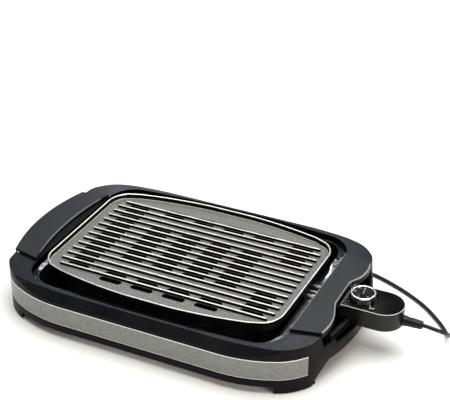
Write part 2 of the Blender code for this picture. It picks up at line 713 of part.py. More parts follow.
def build_panel(side, name):
    underside = PANEL_UNDERSIDE
    panel = prism(name, panel_outline(side), underside - PANEL_LIP_DROP, PANEL_TOP, "panel_plastic")
    hollow = panel_outline(side, PANEL_LIP_WALL)
    inner_x = OPENING_LENGTH / 2 - OVERRUN
    stretched = []
    for x, y in hollow:
        if abs(y) > SEAM_OUTER_Y - 2 * SEAM_GAP:
            y = math.copysign(SEAM_INNER_Y + OVERRUN, y)
        if abs(x) < OPENING_LENGTH / 2 + LEFT_BOW + OVERRUN / 4:
            x = math.copysign(inner_x, x)
        stretched.append((x, y))
    cut(panel, prism("cutter", stretched, underside - PANEL_LIP_DROP - OVERRUN, underside))
    holes = [screw_hole(x, y, underside - OVERRUN, underside + SCREW_BITE)
             for x, y in panel_screws() if x * side > 0]
    cut(panel, *holes)
    bevel = panel.modifiers.new("edge", "BEVEL")
    bevel.width = PANEL_EDGE_BEVEL
    bevel.segments = 1
    bevel.limit_method = "WEIGHT"
    weight_top_edges(panel, PANEL_TOP)
    return panel


def weight_top_edges(obj, height):
    """Mark the outline edges of the top face for the bevel."""
    mesh = obj.data
    weights = mesh.attributes.new("bevel_weight_edge", "FLOAT", "EDGE")
    sides = {}
    for face in mesh.polygons:
        for key in face.edge_keys:
            sides.setdefault(key, []).append(face.normal.z)
    for edge in mesh.edges:
        ends = [mesh.vertices[i].co.z for i in edge.vertices]
        normals = sides.get(tuple(sorted(edge.vertices)), [])
        outline = normals and max(normals) > 0.9 and min(normals) < 0.5
        if min(ends) > height - FIT_GAP and outline:
            weights.data[edge.index].value = 1.0


def build_screw(name, x, y, head_bottom, length):
    """Pan-head screw that points up."""
    head_top = head_bottom + SCREW_HEAD_HEIGHT
    loops = [at_height(circle(x, y, SCREW_NECK_RADIUS, 10), head_bottom),
             at_height(circle(x, y, SCREW_HEAD_RADIUS, 10), head_bottom + SCREW_HEAD_HEIGHT / 3),
             at_height(circle(x, y, SCREW_HEAD_RADIUS, 10), head_top),
             at_height(circle(x, y, SCREW_RADIUS, 10), head_top),
             at_height(circle(x, y, SCREW_RADIUS, 10), head_top + length)]
    return loft(name, loops, "nickel")


def rib_y(index):
    return (index - (RIB_COUNT - 1) / 2) * RIB_PITCH


def build_rib(index):
    y = rib_y(index)
    half = RIB_HALF_LENGTH - (RIB_END_CUT if index in (0, RIB_COUNT - 1) else 0)
    low = RIB_BASE_WIDTH / 2
    high = RIB_TOP_WIDTH / 2
    top = PLATE_FLOOR + RIB_HEIGHT
    sunk = PLATE_FLOOR - PLATE_THICKNESS / 2

    def ring(width, end, z):
        nose = end - width
        return [(-nose, y - width, z), (nose, y - width, z), (end, y, z),
                (nose, y + width, z), (-nose, y + width, z), (-end, y, z)]
    return loft("rib", [ring(low, half, sunk), ring(low, half, PLATE_FLOOR), ring(high, half - low / 2, top)])


def slot_rows():
    """Slots as (x centre, y centre): one row by the front of each rib, and one behind the last.

    Slots are left out over the heater's channel and over its cold ends.
    """
    offset = RIB_BASE_WIDTH / 2 + SLOT_TO_RIB + SLOT_WIDTH / 2
    middle = [(i - 1.5) * SLOT_SPACING for i in range(4)]
    last = RIB_COUNT - 1
    slots = [(x, y) for x in middle for y in (rib_y(0) - offset, rib_y(last) + offset)]
    for index in range(1, RIB_COUNT):
        y = rib_y(index) - offset
        gap_y = (rib_y(index) + rib_y(index - 1)) / 2
        if abs(abs(gap_y) - ELEMENT_HALF_DEPTH) > CHANNEL_HALF + SLOT_WIDTH / 3:
            slots += [(x, y) for x in middle]
        slots.append((-OUTER_SLOT_X, y))
        if abs(gap_y) > COLD_END_HALF:
            slots.append((OUTER_SLOT_X, y))
    return slots


def slot_cutters():
    """All the slots as one cutter mesh of separate six-sided prisms."""
    bm = bmesh.new()
    for x, y in slot_rows():
        half = SLOT_LENGTH / 2
        wide = SLOT_WIDTH / 2
        nose = half - SLOT_END_SLANT
        outline = [(x - nose, y - wide), (x + nose, y - wide), (x + half, y), (x + nose, y + wide),
                   (x - nose, y + wide), (x - half, y)]
        low = [bm.verts.new((px, py, PLATE_UNDERSIDE - OVERRUN)) for px, py in outline]
        high = [bm.verts.new((px, py, LIP_TOP + OVERRUN)) for px, py in outline]
        bm.faces.new(low)
        bm.faces.new(high)
        for i in range(len(low)):
            j = (i + 1) % len(low)
            bm.faces.new((low[i], low[j], high[j], high[i]))
    return from_bmesh("cutter", bm)


def element_path():
    """Centre line of the heater from one terminal round to the other, in plan."""
    length, depth = ELEMENT_HALF_LENGTH, ELEMENT_HALF_DEPTH
    corner, turn = ELEMENT_CORNER_RADIUS, ELEMENT_EXIT_RADIUS
    low = CONTROLLER_Y - PIN_SPREAD
    high = CONTROLLER_Y + PIN_SPREAD
    points = [(PIN_START_X - FIT_GAP, low)]
    points += fillet(length + turn, low - turn, turn, pi / 2, pi, 4)
    points += fillet(length - corner, -depth + corner, corner, 0, -pi / 2, 6)
    points += fillet(-length + corner, -depth + corner, corner, -pi / 2, -pi, 6)
    points += fillet(-length + corner, depth - corner, corner, pi, pi / 2, 6)
    points += fillet(length - corner, depth - corner, corner, pi / 2, 0, 6)
    points += fillet(length + turn, high + turn, turn, pi, 3 * pi / 2, 4)
    points.append((PIN_START_X - FIT_GAP, high))
    return points


def fillet(x, y, radius, start, end, steps):
    return [(x + radius * cos(start + (end - start) * i / steps),
             y + radius * sin(start + (end - start) * i / steps)) for i in range(steps + 1)]


def sweep(name, path, section, material=None, smooth=None):
    """Sweep a section of (across, z) points along a flat open path."""
    loops = []
    for i, (x, y) in enumerate(path):
        before = Vector(path[max(i - 1, 0)])
        after = Vector(path[min(i + 1, len(path) - 1)])
        here = Vector((x, y))
        ahead = (after - here).normalized() if i < len(path) - 1 else (here - before).normalized()
        behind = (here - before).normalized() if i > 0 else ahead
        along = (ahead + behind).normalized()
        across = Vector((along.y, -along.x)) / max(along.dot(ahead), 0.5)
        loops.append([(x + across.x * a, y + across.y * a, z) for a, z in section])
    return loft(name, loops, material, smooth=smooth)


def build_plate():
    lip_in = LIP_WIDTH
    floor_in = LIP_WIDTH + LIP_SLOPE
    loops = [at_height(plate_loop(), PLATE_UNDERSIDE), at_height(plate_loop(), LIP_TOP),
             at_height(plate_loop(lip_in), LIP_TOP), at_height(plate_loop(floor_in), PLATE_FLOOR)]
    plate = loft("grill_plate", loops, "nonstick")
    for index in range(RIB_COUNT):
        join(plate, build_rib(index))
    cut(plate, slot_cutters())
    groove = ELEMENT_RADIUS + FIT_GAP
    wide = CHANNEL_HALF
    low = ELEMENT_HEIGHT - ELEMENT_RADIUS
    roof = PLATE_UNDERSIDE - FIT_GAP / 2
    sunk = PLATE_UNDERSIDE + PLATE_THICKNESS / 4
    section = [(-wide, low), (-wide, sunk), (wide, sunk), (wide, low), (groove, low), (groove, roof),
               (-groove, roof), (-groove, low)]
    path = element_path()
    join(plate, sweep("channel", path[1:-1], section))
    leg_bottom = TRAY_BOTTOM + TRAY_WALL + FIT_GAP
    for sx in (1, -1):
        for sy in (1, -1):
            x = sx * (PLATE_LENGTH / 2 - PLATE_LEG_IN_X)
            y = sy * (PLATE_DEPTH / 2 - PLATE_LEG_IN_Y)
            join(plate, prism("leg", circle(x, y, PLATE_LEG_RADIUS, 12), leg_bottom, sunk))
    sharpen(plate, radians(30))
    return plate


def build_element():
    steps = 8
    section = [(ELEMENT_RADIUS * cos(2 * pi * i / steps), ELEMENT_HEIGHT + ELEMENT_RADIUS * sin(2 * pi * i / steps))
               for i in range(steps)]
    return sweep("heating_element", element_path(), section, "sheath", smooth=radians(50))


def build_pin(name, sign):
    """Terminal pin on one cold end of the heater."""
    y = CONTROLLER_Y + sign * PIN_SPREAD
    tip = PIN_REACH_X - PIN_RADIUS / 2
    return turned_x(name, [(PIN_START_X, PIN_RADIUS), (tip, PIN_RADIUS), (PIN_REACH_X, PIN_RADIUS / 2)],
                    y, ELEMENT_HEIGHT, 12, "nickel")


def tray_loop(inset, bay):
    """Tray outline drawn in by an inset, with its bay for the probe grown by another amount."""
    half_x = TRAY_LENGTH / 2 - inset
    half_y = TRAY_DEPTH / 2 - inset
    radius = TRAY_CORNER_RADIUS - inset
    points = []
    for sx, sy, start in ((1, -1, -pi / 2), (1, 1, 0), (-1, 1, pi / 2), (-1, -1, pi)):
        points += fillet(sx * (half_x - radius), sy * (half_y - radius), radius, start, start + pi / 2, 6)
        if (sx, sy) == (1, -1):
            low = CONTROLLER_Y - BAY_HALF - bay
            high = CONTROLLER_Y + BAY_HALF + bay
            points += [(half_x, low), (BAY_INNER_X - bay, low), (BAY_INNER_X - bay, high), (half_x, high)]
    return points


def build_tray():
    inner_edge = TRAY_FLANGE
    top = TRAY_TOP
    below = TRAY_TOP - TRAY_FLANGE_THICKNESS
    bottom = TRAY_BOTTOM
    drawn = TRAY_FLANGE + TRAY_DRAFT
    loops = [
        at_height(tray_loop(drawn, TRAY_WALL), bottom),
        at_height(tray_loop(inner_edge, 0), below),
        at_height(tray_loop(0, -BAY_LIP), below),
        at_height(tray_loop(0, -BAY_LIP), top),
        at_height(tray_loop(inner_edge + TRAY_WALL, TRAY_WALL), top),
        at_height(tray_loop(drawn + TRAY_WALL, 2 * TRAY_WALL), bottom + TRAY_WALL),
    ]
    tray = loft("drip_tray", loops, "enamel")
    half = PIN_SPREAD + CHANNEL_HALF + 2 * FIT_GAP
    notch_floor = ELEMENT_HEIGHT - ELEMENT_RADIUS - 2 * FIT_GAP
    notch = box("cutter", (BAY_INNER_X - NOTCH_DEPTH, CONTROLLER_Y - half, notch_floor),
                (BAY_INNER_X + OVERRUN, CONTROLLER_Y + half, TRAY_TOP + OVERRUN))
    cut(tray, notch)
    sharpen(tray, radians(30))
    return tray


def pod_outline(inset=0.0):
    """Controller outline: flat end towards the grill, round far end."""
    radius = POD_RADIUS - inset
    centre = POD_END_X - POD_RADIUS
    arc = fillet(centre, CONTROLLER_Y, radius, -pi / 2, pi / 2, 16)
    start = POD_START_X + inset
    return [(start, CONTROLLER_Y - radius)] + arc + [(start, CONTROLLER_Y + radius)]


def build_housing():
    top = COVER_BOTTOM - FIT_GAP
    housing = prism("controller_housing", pod_outline(), POD_BOTTOM, top, "black_plastic")
    cut(housing, prism("cutter", pod_outline(POD_WALL), POD_BOTTOM + POD_WALL, top + OVERRUN))
    nose = box("nose", (NOSE_START_X, CONTROLLER_Y - NOSE_HALF, NOSE_BOTTOM),
               (POD_START_X + POD_WALL / 2, CONTROLLER_Y + NOSE_HALF, NOSE_TOP))
    join(housing, nose)
    for side in (1, -1):
        face = CONTROLLER_Y + side * POD_RADIUS
        for i in range(GRIP_RIB_COUNT):
            x = POD_START_X + GRIP_RIB_PITCH * (i + 1)
            rib_y_low, rib_y_high = sorted((face - side * GRIP_RIB_DEPTH, face + side * GRIP_RIB_DEPTH))
            rib = box("rib", (x - GRIP_RIB_WIDTH / 2, rib_y_low, POD_BOTTOM + GRIP_RIB_DEPTH),
                      (x + GRIP_RIB_WIDTH / 2, rib_y_high, POD_BOTTOM + GRIP_RIB_HEIGHT))
            join(housing, rib)
    holes = [screw_hole(x, y, POD_BOTTOM - OVERRUN, POD_BOTTOM + POD_WALL + OVERRUN) for x, y in housing_screws()]
    cut(housing, *holes)
    sharpen(housing)
    return housing


def housing_screws():
    return [(HOUSING_SCREW_X, CONTROLLER_Y + side * HOUSING_SCREW_SPREAD) for side in (1, -1)]


def build_cover():
    cover = prism("controller_cover", pod_outline(), COVER_BOTTOM, POD_TOP, "gloss_black")
    shaft_hole = prism("cutter", circle(DIAL_X, CONTROLLER_Y, SHAFT_RADIUS + FIT_GAP, 20),
                       COVER_BOTTOM - OVERRUN, POD_TOP + OVERRUN)
    cut(cover, shaft_hole)
    sharpen(cover)
    return cover


def build_switch():
    half = SWITCH_LENGTH / 2
    return box("thermostat_switch", (DIAL_X - half, CONTROLLER_Y - SWITCH_WIDTH / 2, SWITCH_BOTTOM),
               (DIAL_X + half, CONTROLLER_Y + SWITCH_WIDTH / 2, SWITCH_TOP), "phenolic")


def build_probe():
    sections = []
    for i in range(1, 4):
        a = pi / 2 * i / 3
        sections.append((PROBE_END_X + PROBE_RADIUS * (1 - cos(a)), PROBE_RADIUS * sin(a)))
    sections.append((NOSE_START_X - FIT_GAP, PROBE_RADIUS))
    return turned_x("thermostat_probe", sections, CONTROLLER_Y, ELEMENT_HEIGHT - PROBE_DROP, 12, "nickel")


def build_fork(name, sign):
    """Open-topped spring contact that holds one terminal pin."""
    y = CONTROLLER_Y + sign * PIN_SPREAD
    inside = PIN_RADIUS + FIT_GAP
    outside = inside + FORK_WALL
    low = ELEMENT_HEIGHT - inside - FORK_WALL
    floor = ELEMENT_HEIGHT - inside
    top = ELEMENT_HEIGHT + PIN_RADIUS / 2
    section = [(y - outside, low), (y + outside, low), (y + outside, top), (y + inside, top), (y + inside, floor),
               (y - inside, floor), (y - inside, top), (y - outside, top)]
    ends = (FORK_END_X, NOSE_START_X - FIT_GAP)
    return loft(name, [[(x, py, pz) for py, pz in section] for x in ends], "nickel")


def knurled(radius, height):
    """Dial outline of flat-topped knurls, round the dial's own axis."""
    points = []
    for i in range(DIAL_KNURLS):
        for share, reach in ((0, 0), (0.3, 0), (0.5, DIAL_KNURL_DEPTH), (0.8, DIAL_KNURL_DEPTH)):
            a = 2 * pi * (i + share) / DIAL_KNURLS
            points.append(((radius - reach) * cos(a), (radius - reach) * sin(a), height))
    return points


def build_dial():
    """Dial pieces, drawn round the dial's axis."""
    base = POD_TOP + DIAL_RUN_GAP
    ring_low = DIAL_TOP - RING_HEIGHT
    shoulder = ring_low - FIT_GAP
    knob = loft("dial_knob", [knurled(DIAL_SKIRT_RADIUS, base), knurled(DIAL_NECK_RADIUS, shoulder)],
                "black_plastic", smooth=radians(30))
    hub = SHAFT_RADIUS + FIT_GAP
    bore = prism("cutter", circle(0, 0, hub, 16), base - OVERRUN, shoulder - FACE_THICKNESS)
    cut(knob, bore)
    ring = dial_ring(ring_low)
    face_top = DIAL_TOP - FACE_RECESS
    face = prism("dial_face", circle(0, 0, RING_INNER_RADIUS - FIT_GAP, 32), shoulder + FIT_GAP, face_top,
                 "gloss_black", smooth=radians(40))
    shaft = prism("dial_shaft", circle(0, 0, SHAFT_RADIUS, 16), SWITCH_TOP + FIT_GAP,
                  shoulder - FACE_THICKNESS - FIT_GAP, "nickel", smooth=radians(40))
    return [knob, ring, face, shaft]


def dial_ring(low):
    steps = 32
    chamfer = RING_HEIGHT / 3
    profile = [(RING_RADIUS, low), (RING_RADIUS, DIAL_TOP - chamfer), (RING_RADIUS - chamfer, DIAL_TOP),
               (RING_INNER_RADIUS + chamfer, DIAL_TOP), (RING_INNER_RADIUS, DIAL_TOP - chamfer),
               (RING_INNER_RADIUS, low)]
    loops = [at_height(circle(0, 0, radius, steps), z) for radius, z in profile]
    return loft("dial_ring", loops, "chrome", closed=True, smooth=radians(30))


def build_relief():
    start = POD_END_X + FIT_GAP
    collar = start + RELIEF_COLLAR_LENGTH
    sections = [(start, RELIEF_COLLAR_RADIUS), (collar, RELIEF_COLLAR_RADIUS), (collar, RELIEF_BASE_RADIUS),
                (RELIEF_END_X, RELIEF_TIP_RADIUS)]
    return turned_x("strain_relief", sections, CONTROLLER_Y, RELIEF_HEIGHT, 16, "cord_black")


def smooth_route(points, spacing):
    """Catmull-Rom curve through the route's points, read off at an even spacing."""
    dense = []
    for i in range(len(points) - 1):
        before = Vector(points[max(i - 1, 0)])
        start = Vector(points[i])
        end = Vector(points[i + 1])
        after = Vector(points[min(i + 2, len(points) - 1)])
        for k in range(12):
            t = k / 12
            dense.append(0.5 * (2 * start + (end - before) * t + (2 * before - 5 * start + 4 * end - after) * t ** 2
                                + (3 * start - before - 3 * end + after) * t ** 3))
    dense.append(Vector(points[-1]))
    total = sum((b - a).length for a, b in zip(dense, dense[1:]))
    count = max(round(total / spacing), 1)
    read = [dense[0]]
    walked = 0.0
    for a, b in zip(dense, dense[1:]):
        step = (b - a).length
        while len(read) < count and walked + step >= total * len(read) / count:
            share = (total * len(read) / count - walked) / step
            read.append(a.lerp(b, share))
        walked += step
    read.append(dense[-1])
    return read


def tube(name, points, resolution):
    curve = bpy.data.curves.new(name, "CURVE")
    curve.dimensions = "3D"
    curve.bevel_depth = CORD_RADIUS
    curve.bevel_resolution = resolution
    curve.use_fill_caps = True
    spline = curve.splines.new("POLY")
    spline.points.add(len(points) - 1)
    for spot, point in zip(spline.points, points):
        spot.co = (*point, 1.0)
    curve.materials.append(finish("cord_black"))
    obj = bpy.data.objects.new(name, curve)
    bpy.context.collection.objects.link(obj)
    return obj


def coil_points():
    """Two flat layers of turns: inwards below, up a layer in the half turn where it reverses, then outwards."""
    turns_down = (COIL_TURNS - 0.5) / 2
    reverse = turns_down + 0.25
    points = []
    total = round(COIL_TURNS * COIL_STEPS)
    for i in range(total + 1):
        t = i / COIL_STEPS
        radius = COIL_OUTER_RADIUS - COIL_PITCH * (t if t < reverse else 2 * reverse - t)
        climb = ease(t, turns_down, turns_down + 0.5)
        angle = -pi / 2 - 2 * pi * t
        points.append(Vector((COIL_X + radius * cos(angle), COIL_Y + radius * sin(angle),
                              COIL_LOW + COIL_PITCH * climb)))
    lead = Vector((CORD_DIAMETER, 0, 0))
    return [points[0] + lead] + points + [points[-1] - lead]


def coil_gap(points):
    """Least gap between turns of the coil, measured on points along its centre line."""
    fine = []
    for a, b in zip(points, points[1:]):
        fine += [a.lerp(b, k / 4) for k in range(4)]
    apart = COIL_STEPS * 2
    least = min((fine[i] - fine[j]).length for i in range(len(fine)) for j in range(i + apart, len(fine)))
    return least - CORD_DIAMETER


def plug_section(x, width, height):
    """Section of the plug body at a place along X: a rectangle with its corners cut."""
    w, h, c = width / 2, height / 2, PLUG_CHAMFER
    corners = [(-w, -h + c), (-w + c, -h), (w - c, -h), (w, -h + c),
               (w, h - c), (w - c, h), (-w + c, h), (-w, h - c)]
    return [(x, PLUG_Y + y, COIL_HIGH + z) for y, z in corners]


def build_plug():
    end = PLUG_TAIL_X - PLUG_TAIL_LENGTH
    front = end - PLUG_LENGTH
    body = loft("plug_body", [plug_section(front, PLUG_WIDTH, PLUG_HEIGHT),
                              plug_section(front + PLUG_GRIP_LENGTH, PLUG_WIDTH, PLUG_HEIGHT),
                              plug_section(end, PLUG_NECK_WIDTH, PLUG_NECK_HEIGHT)], "cord_black")
    join(body, turned_x("tail", [(PLUG_TAIL_X, PLUG_TAIL_RADIUS), (end - OVERRUN / 2, PLUG_TAIL_RADIUS)],
                        PLUG_Y, COIL_HIGH, 12))
    pieces = [body]
    for sign, name in ((-1, "plug_blade_a"), (1, "plug_blade_b")):
        y = PLUG_Y + sign * BLADE_SPREAD / 2
        low = (front - FIT_GAP - BLADE_LENGTH, y - BLADE_THICKNESS / 2, COIL_HIGH - BLADE_WIDTH / 2)
        high = (front - FIT_GAP, y + BLADE_THICKNESS / 2, COIL_HIGH + BLADE_WIDTH / 2)
        pieces.append(box(name, low, high, "nickel"))
    return pieces


def build_pads():
    pads = []
    for name, sx, sy in (("foot_pad_front_right", 1, -1), ("foot_pad_rear_right", 1, 1),
                         ("foot_pad_rear_left", -1, 1), ("foot_pad_front_left", -1, -1)):
        x = sx * (HALF_LENGTH - PAD_IN_X)
        y = sy * (HALF_DEPTH - PAD_IN_Y)
        pads.append(prism(name, circle(x, y, PAD_RADIUS, 20), 0, SHELL_BOTTOM + FOOT_RECESS - FIT_GAP, "rubber"))
    return pads


def make_empty(name, location, parent=None):
    empty = bpy.data.objects.new(name, None)
    bpy.context.collection.objects.link(empty)
    empty.location = location
    empty.parent = parent
    return empty


def hang(parent, objects):
    for obj in objects:
        obj.parent = parent


def main():
    clear_scene()
    root = make_empty("grill_origin", (SHIFT_X, 0, 0))
    hang(root, [build_base(), build_band(), build_top_frame()])
    hang(root, [build_liner(-1, "handle_liner_left"), build_liner(1, "handle_liner_right")])
    hang(root, [build_panel(-1, "handle_panel_left"), build_panel(1, "handle_panel_right")])
    hang(root, build_pads())
    under_strip = FRAME_TOP - FRAME_WALL - FIT_GAP
    for i, (x, y) in enumerate(panel_screws()):
        head = under_strip - FIT_GAP - SCREW_HEAD_HEIGHT
        reach = PANEL_UNDERSIDE + SCREW_BITE - under_strip
        hang(root, [build_screw("panel_screw_%d" % (i + 1), x, y, head, reach)])

    tray_lift = make_empty("tray_lift", (0, 0, 0), root)
    hang(tray_lift, [build_tray()])
    plate_lift = make_empty("plate_lift", (0, 0, 0), tray_lift)
    hang(plate_lift, [build_plate(), build_element()])
    hang(plate_lift, [build_pin("terminal_pin_front", -1), build_pin("terminal_pin_rear", 1)])

    slide = make_empty("controller_slide", (0, 0, 0), root)
    hang(slide, [build_housing(), build_cover(), build_switch(), build_probe()])
    hang(slide, [build_fork("contact_fork_front", -1), build_fork("contact_fork_rear", 1), build_relief()])
    for i, (x, y) in enumerate(housing_screws()):
        head = POD_BOTTOM - FIT_GAP - SCREW_HEAD_HEIGHT
        hang(slide, [build_screw("housing_screw_%d" % (i + 1), x, y, head, SCREW_BITE)])
    dial_axis = make_empty("dial_axis", (DIAL_X, CONTROLLER_Y, 0), slide)
    hang(dial_axis, build_dial())

    coil = coil_points()
    print("least gap in the coil: %.2f mm" % (coil_gap(coil) * 1000))
    hang(slide, [tube("power_cord", smooth_route(CORD_ROUTE, 2.4 * CORD_DIAMETER), 2)])
    hang(slide, [tube("cord_coil", coil, 1), tube("plug_lead", smooth_route(LEAD_ROUTE, 1.6 * CORD_DIAMETER), 2)])
    hang(slide, build_plug())


main()
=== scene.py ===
"""Dresses the indoor electric grill for its picture.

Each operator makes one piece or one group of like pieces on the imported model, in metres. The grill
stands on the floor with its front at -Y and its temperature control at +X.
"""
from bisect import bisect
from math import atan2, cos, hypot, pi, radians, sin, tau

import bmesh
import bpy
from bpy.props import FloatProperty, FloatVectorProperty, PointerProperty
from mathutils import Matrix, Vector


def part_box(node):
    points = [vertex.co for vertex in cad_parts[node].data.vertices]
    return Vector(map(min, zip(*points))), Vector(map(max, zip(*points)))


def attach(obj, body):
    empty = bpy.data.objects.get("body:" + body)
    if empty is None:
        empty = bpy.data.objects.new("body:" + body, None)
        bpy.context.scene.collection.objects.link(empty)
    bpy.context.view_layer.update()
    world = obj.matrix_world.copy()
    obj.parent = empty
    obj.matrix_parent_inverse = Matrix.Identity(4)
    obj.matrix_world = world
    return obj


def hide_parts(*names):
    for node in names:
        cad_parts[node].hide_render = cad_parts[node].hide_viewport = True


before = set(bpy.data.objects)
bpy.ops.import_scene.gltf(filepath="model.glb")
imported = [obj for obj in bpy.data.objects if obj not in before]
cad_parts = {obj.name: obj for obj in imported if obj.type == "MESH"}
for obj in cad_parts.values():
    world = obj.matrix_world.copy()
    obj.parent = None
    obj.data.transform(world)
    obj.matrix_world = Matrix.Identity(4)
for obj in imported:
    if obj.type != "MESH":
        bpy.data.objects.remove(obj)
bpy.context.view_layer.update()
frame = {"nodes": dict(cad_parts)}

bl_info = {
    "name": "Table grill",
    "version": (1, 0, 0),
    "blender": (4, 5, 0),
    "location": "View3D > Sidebar > Grill",
    "description": "Makes the visible pieces, finishes and studio of an indoor electric grill",
    "category": "Add Mesh",
}

# Places on the grill, in metres, as the part's source has them. Routes and outlines count x from the body's own
# middle, which SHIFT_X moves to the frame's origin.
SHIFT_X = -0.045
FRAME_TOP = 0.077
SEAT_END = 0.105  # between the panels' ends the frame is only ledges, which take the darker base finish as painted shade
BAND_LOW, BAND_HIGH = 0.0239, 0.0587
PLATE_FLOOR = 0.079
LIP_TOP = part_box("grill_plate")[1].z
LIP_FOOT_IN, LIP_FOOT_ROOM = 0.0057, 0.0022  # how far inside the rim the inner wall's foot lies, and within what
FOOT_REACH, FOOT_ROUND = 0.0048, 0.0006  # the same for the foot once it is moved out, and its rounding
RIB_TOP = 0.0835
RIB_PITCH = 0.0159
FIRST_RIB_Y = -0.10335
SLOT_DEPTH = 0.006
CONTROLLER_Y = 0.0095
DIAL_X = 0.2815 + SHIFT_X
POD_TOP = 0.0810
COVER_SEAM = 0.0530
RELIEF_END_X = 0.3750 + SHIFT_X
RELIEF_HEIGHT = 0.0600
PRINT_RAISE = 0.00004

# How finely places are read: points this close are one, or lie on a level or by a floor's edge, in metres
WELD = 0.00001
LEVEL = 0.0002
NEAR_FLOOR = 0.0003

# Angles: faces this flat to each other are one face, edges this sharp are bevelled or kept sharp, and faces that
# look less far up than UPWARD are walls or undersides
FLAT, CREASE, SHARP, SHARP_ROUND = radians(0.6), radians(28), radians(35), radians(40)
UPWARD = 0.35

# Outlines: half length, half depth, radius and half angle of the bowed sides, corner radius, shift
SOLID_LIP = (0.2006, 0.1450, 0.407, radians(20.0), 0.0346)
LIP = (0.1989, 0.1460, 0.697, radians(13.2), 0.0430, (-0.0022, 0.0007))
OPENING = (0.2143, 0.1660, 1.400, radians(6.0), 0.0480)

# The cord and its coil, in two layers of turns a little more than a diameter apart
CORD_DIAMETER = 0.0062
COIL_CENTRE = (0.110, 0.2275)
COIL_OUTER_RADIUS = 0.0410
COIL_PITCH = 0.0068
COIL_TURNS = 5.0
COIL_STEPS = 24
COIL_LOW = CORD_DIAMETER / 2 + 0.0003

# The camera, fitted to the picture: its aim, turn, height and distance, and its focal length in pixels of a frame
# that is 450 pixels wide
CAMERA_AIM = (-0.0294 + SHIFT_X, 0.1826, 0.0804)
CAMERA_TURN, CAMERA_LIFT, CAMERA_AWAY = radians(25.757), radians(29.965), 2.0733
CAMERA_FOCAL, FRAME_WIDTH = 1228.32, 450.0
SENSOR_WIDTH = 36.0

# Lamps: place, point looked at, width, height, power in watts, tone. The two small tray lights are for the broken
# glint on the tray's rim, and the shoulder light is for the shine on the satin top by the control.
LAMPS = (
    ("top_light", (0.0, 0.2, 2.6), (0, 0, 0), 3.0, 3.0, 130.0, "FFFEFC"),
    ("back_light", (0.4, 2.3, 2.25), (0, 0, 0.05), 1.1, 0.6, 18.0, "F2F6FF"),
    ("glint_light", (-1.32, 2.10, 1.30), (-0.1, 0, 0.05), 0.35, 0.35, 2.6, "EEF4FF"),
    ("shoulder_light", (-0.72, 2.28, 2.20), (0.05, 0, 0.05), 0.36, 0.40, 2.4, "F2F6FF"),
    ("tray_light_left", (-1.528, 1.710, 1.549), (-0.219, -0.132, 0.07), 0.06, 0.06, 0.32, "E0EAFF"),
    ("tray_light_right", (-0.640, 2.190, 1.540), (0.156, 0.065, 0.07), 0.07, 0.07, 0.5, "F4F8FF"),
    ("side_light", (2.2, -1.0, 0.6), (0.1, 0, 0.03), 1.2, 0.8, 45.0, "FFF6EA"),
    ("left_light", (-2.2, 0.9, 0.6), (-0.2, 0, 0.03), 0.9, 0.7, 3.0, "E6EEFF"),
)
SKY_TONE, SKY_STRENGTH = "E9ECEF", 0.06
FLOOR_SIZE, FLOOR_CENTRE = 14.0, (0, 3.0, 0)

# The free cord from the strain relief to the coil, and the short lead from the coil to the plug
CORD_ROUTE = [
    (0.3753, 0.0095, 0.0600), (0.3815, 0.0095, 0.0598), (0.3930, 0.0100, 0.0580), (0.4030, 0.0135, 0.0540),
    (0.4082, 0.0225, 0.0470), (0.4082, 0.0370, 0.0350), (0.4040, 0.0550, 0.0200), (0.3970, 0.0740, 0.0085),
    (0.3880, 0.0900, 0.0042), (0.3770, 0.1040, 0.0034), (0.3640, 0.1170, 0.0034), (0.3490, 0.1310, 0.0034),
    (0.3320, 0.1440, 0.0034), (0.3110, 0.1570, 0.0034), (0.2860, 0.1700, 0.0034), (0.2630, 0.1800, 0.0034),
    (0.2390, 0.1880, 0.0034), (0.2100, 0.1930, 0.0034), (0.1750, 0.1925, 0.0034), (0.1420, 0.1885, 0.0034),
    (0.1230, 0.1865, 0.0034), (0.1165, 0.1865, 0.0034),
]
LEAD_ROUTE = [
    (0.1035, 0.1865, 0.0102), (0.0970, 0.1865, 0.0102), (0.0850, 0.1876, 0.0102), (0.0720, 0.1910, 0.0100),
    (0.0600, 0.1945, 0.0099), (0.0500, 0.1960, 0.0099), (0.0440, 0.1960, 0.0099),
]


def linear(code):
    """Turn an sRGB hex value into the linear colour that a shader takes."""
    parts = [int(code[i:i + 2], 16) / 255 for i in (0, 2, 4)]
    return tuple(p / 12.92 if p <= 0.04045 else ((p + 0.055) / 1.055) ** 2.4 for p in parts)


# Sizes and colours

def size(name, description, default):
    """A length in metres that a user may change."""
    return FloatProperty(name=name, description=description, default=default, min=0.0, precision=5, unit="LENGTH")


def colour(name, description, code):
    """A colour that a user may change, from its hex value."""
    return FloatVectorProperty(name=name, description=description, subtype="COLOR", size=3, min=0.0, max=1.0,
                               default=linear(code))


class GrillSizes(bpy.types.PropertyGroup):
    """Roundings and pattern scales of the grill."""
    slot_room: size("Slot room", "How much wider the slots are drawn towards the front", 0.0026)
    groove: size("Groove", "Dark line left above and under the steel band", 0.0011)
    lip_rise: size("Lip rise", "How much higher the plate's lip stands than on the plain solid", 0.0008)
    lip_steepness: size("Lip foot", "How far the foot of the lip's inner wall moves out", 0.0025)
    rib_round: size("Rib rounding", "Radius along the top edges of the ribs", 0.0006)
    lip_round: size("Lip rounding", "Radius on the rim of the cooking plate", 0.0009)
    frame_round: size("Frame rounding", "Radius on the edges of the top frame", 0.0011)
    panel_round: size("Panel rounding", "Radius on the edges of the handle panels", 0.0009)
    grain: size("Grain", "Spacing of the moulded grain on the plastic", 0.0009)
    brush: size("Brush line", "Spacing of the brushed lines on the steel", 0.0011)
    speckle: size("Speckle", "Size of the specks in the non-stick coat", 0.0024)
    numeral: size("Numeral", "Height of the numbers printed on the dial", 0.0046)


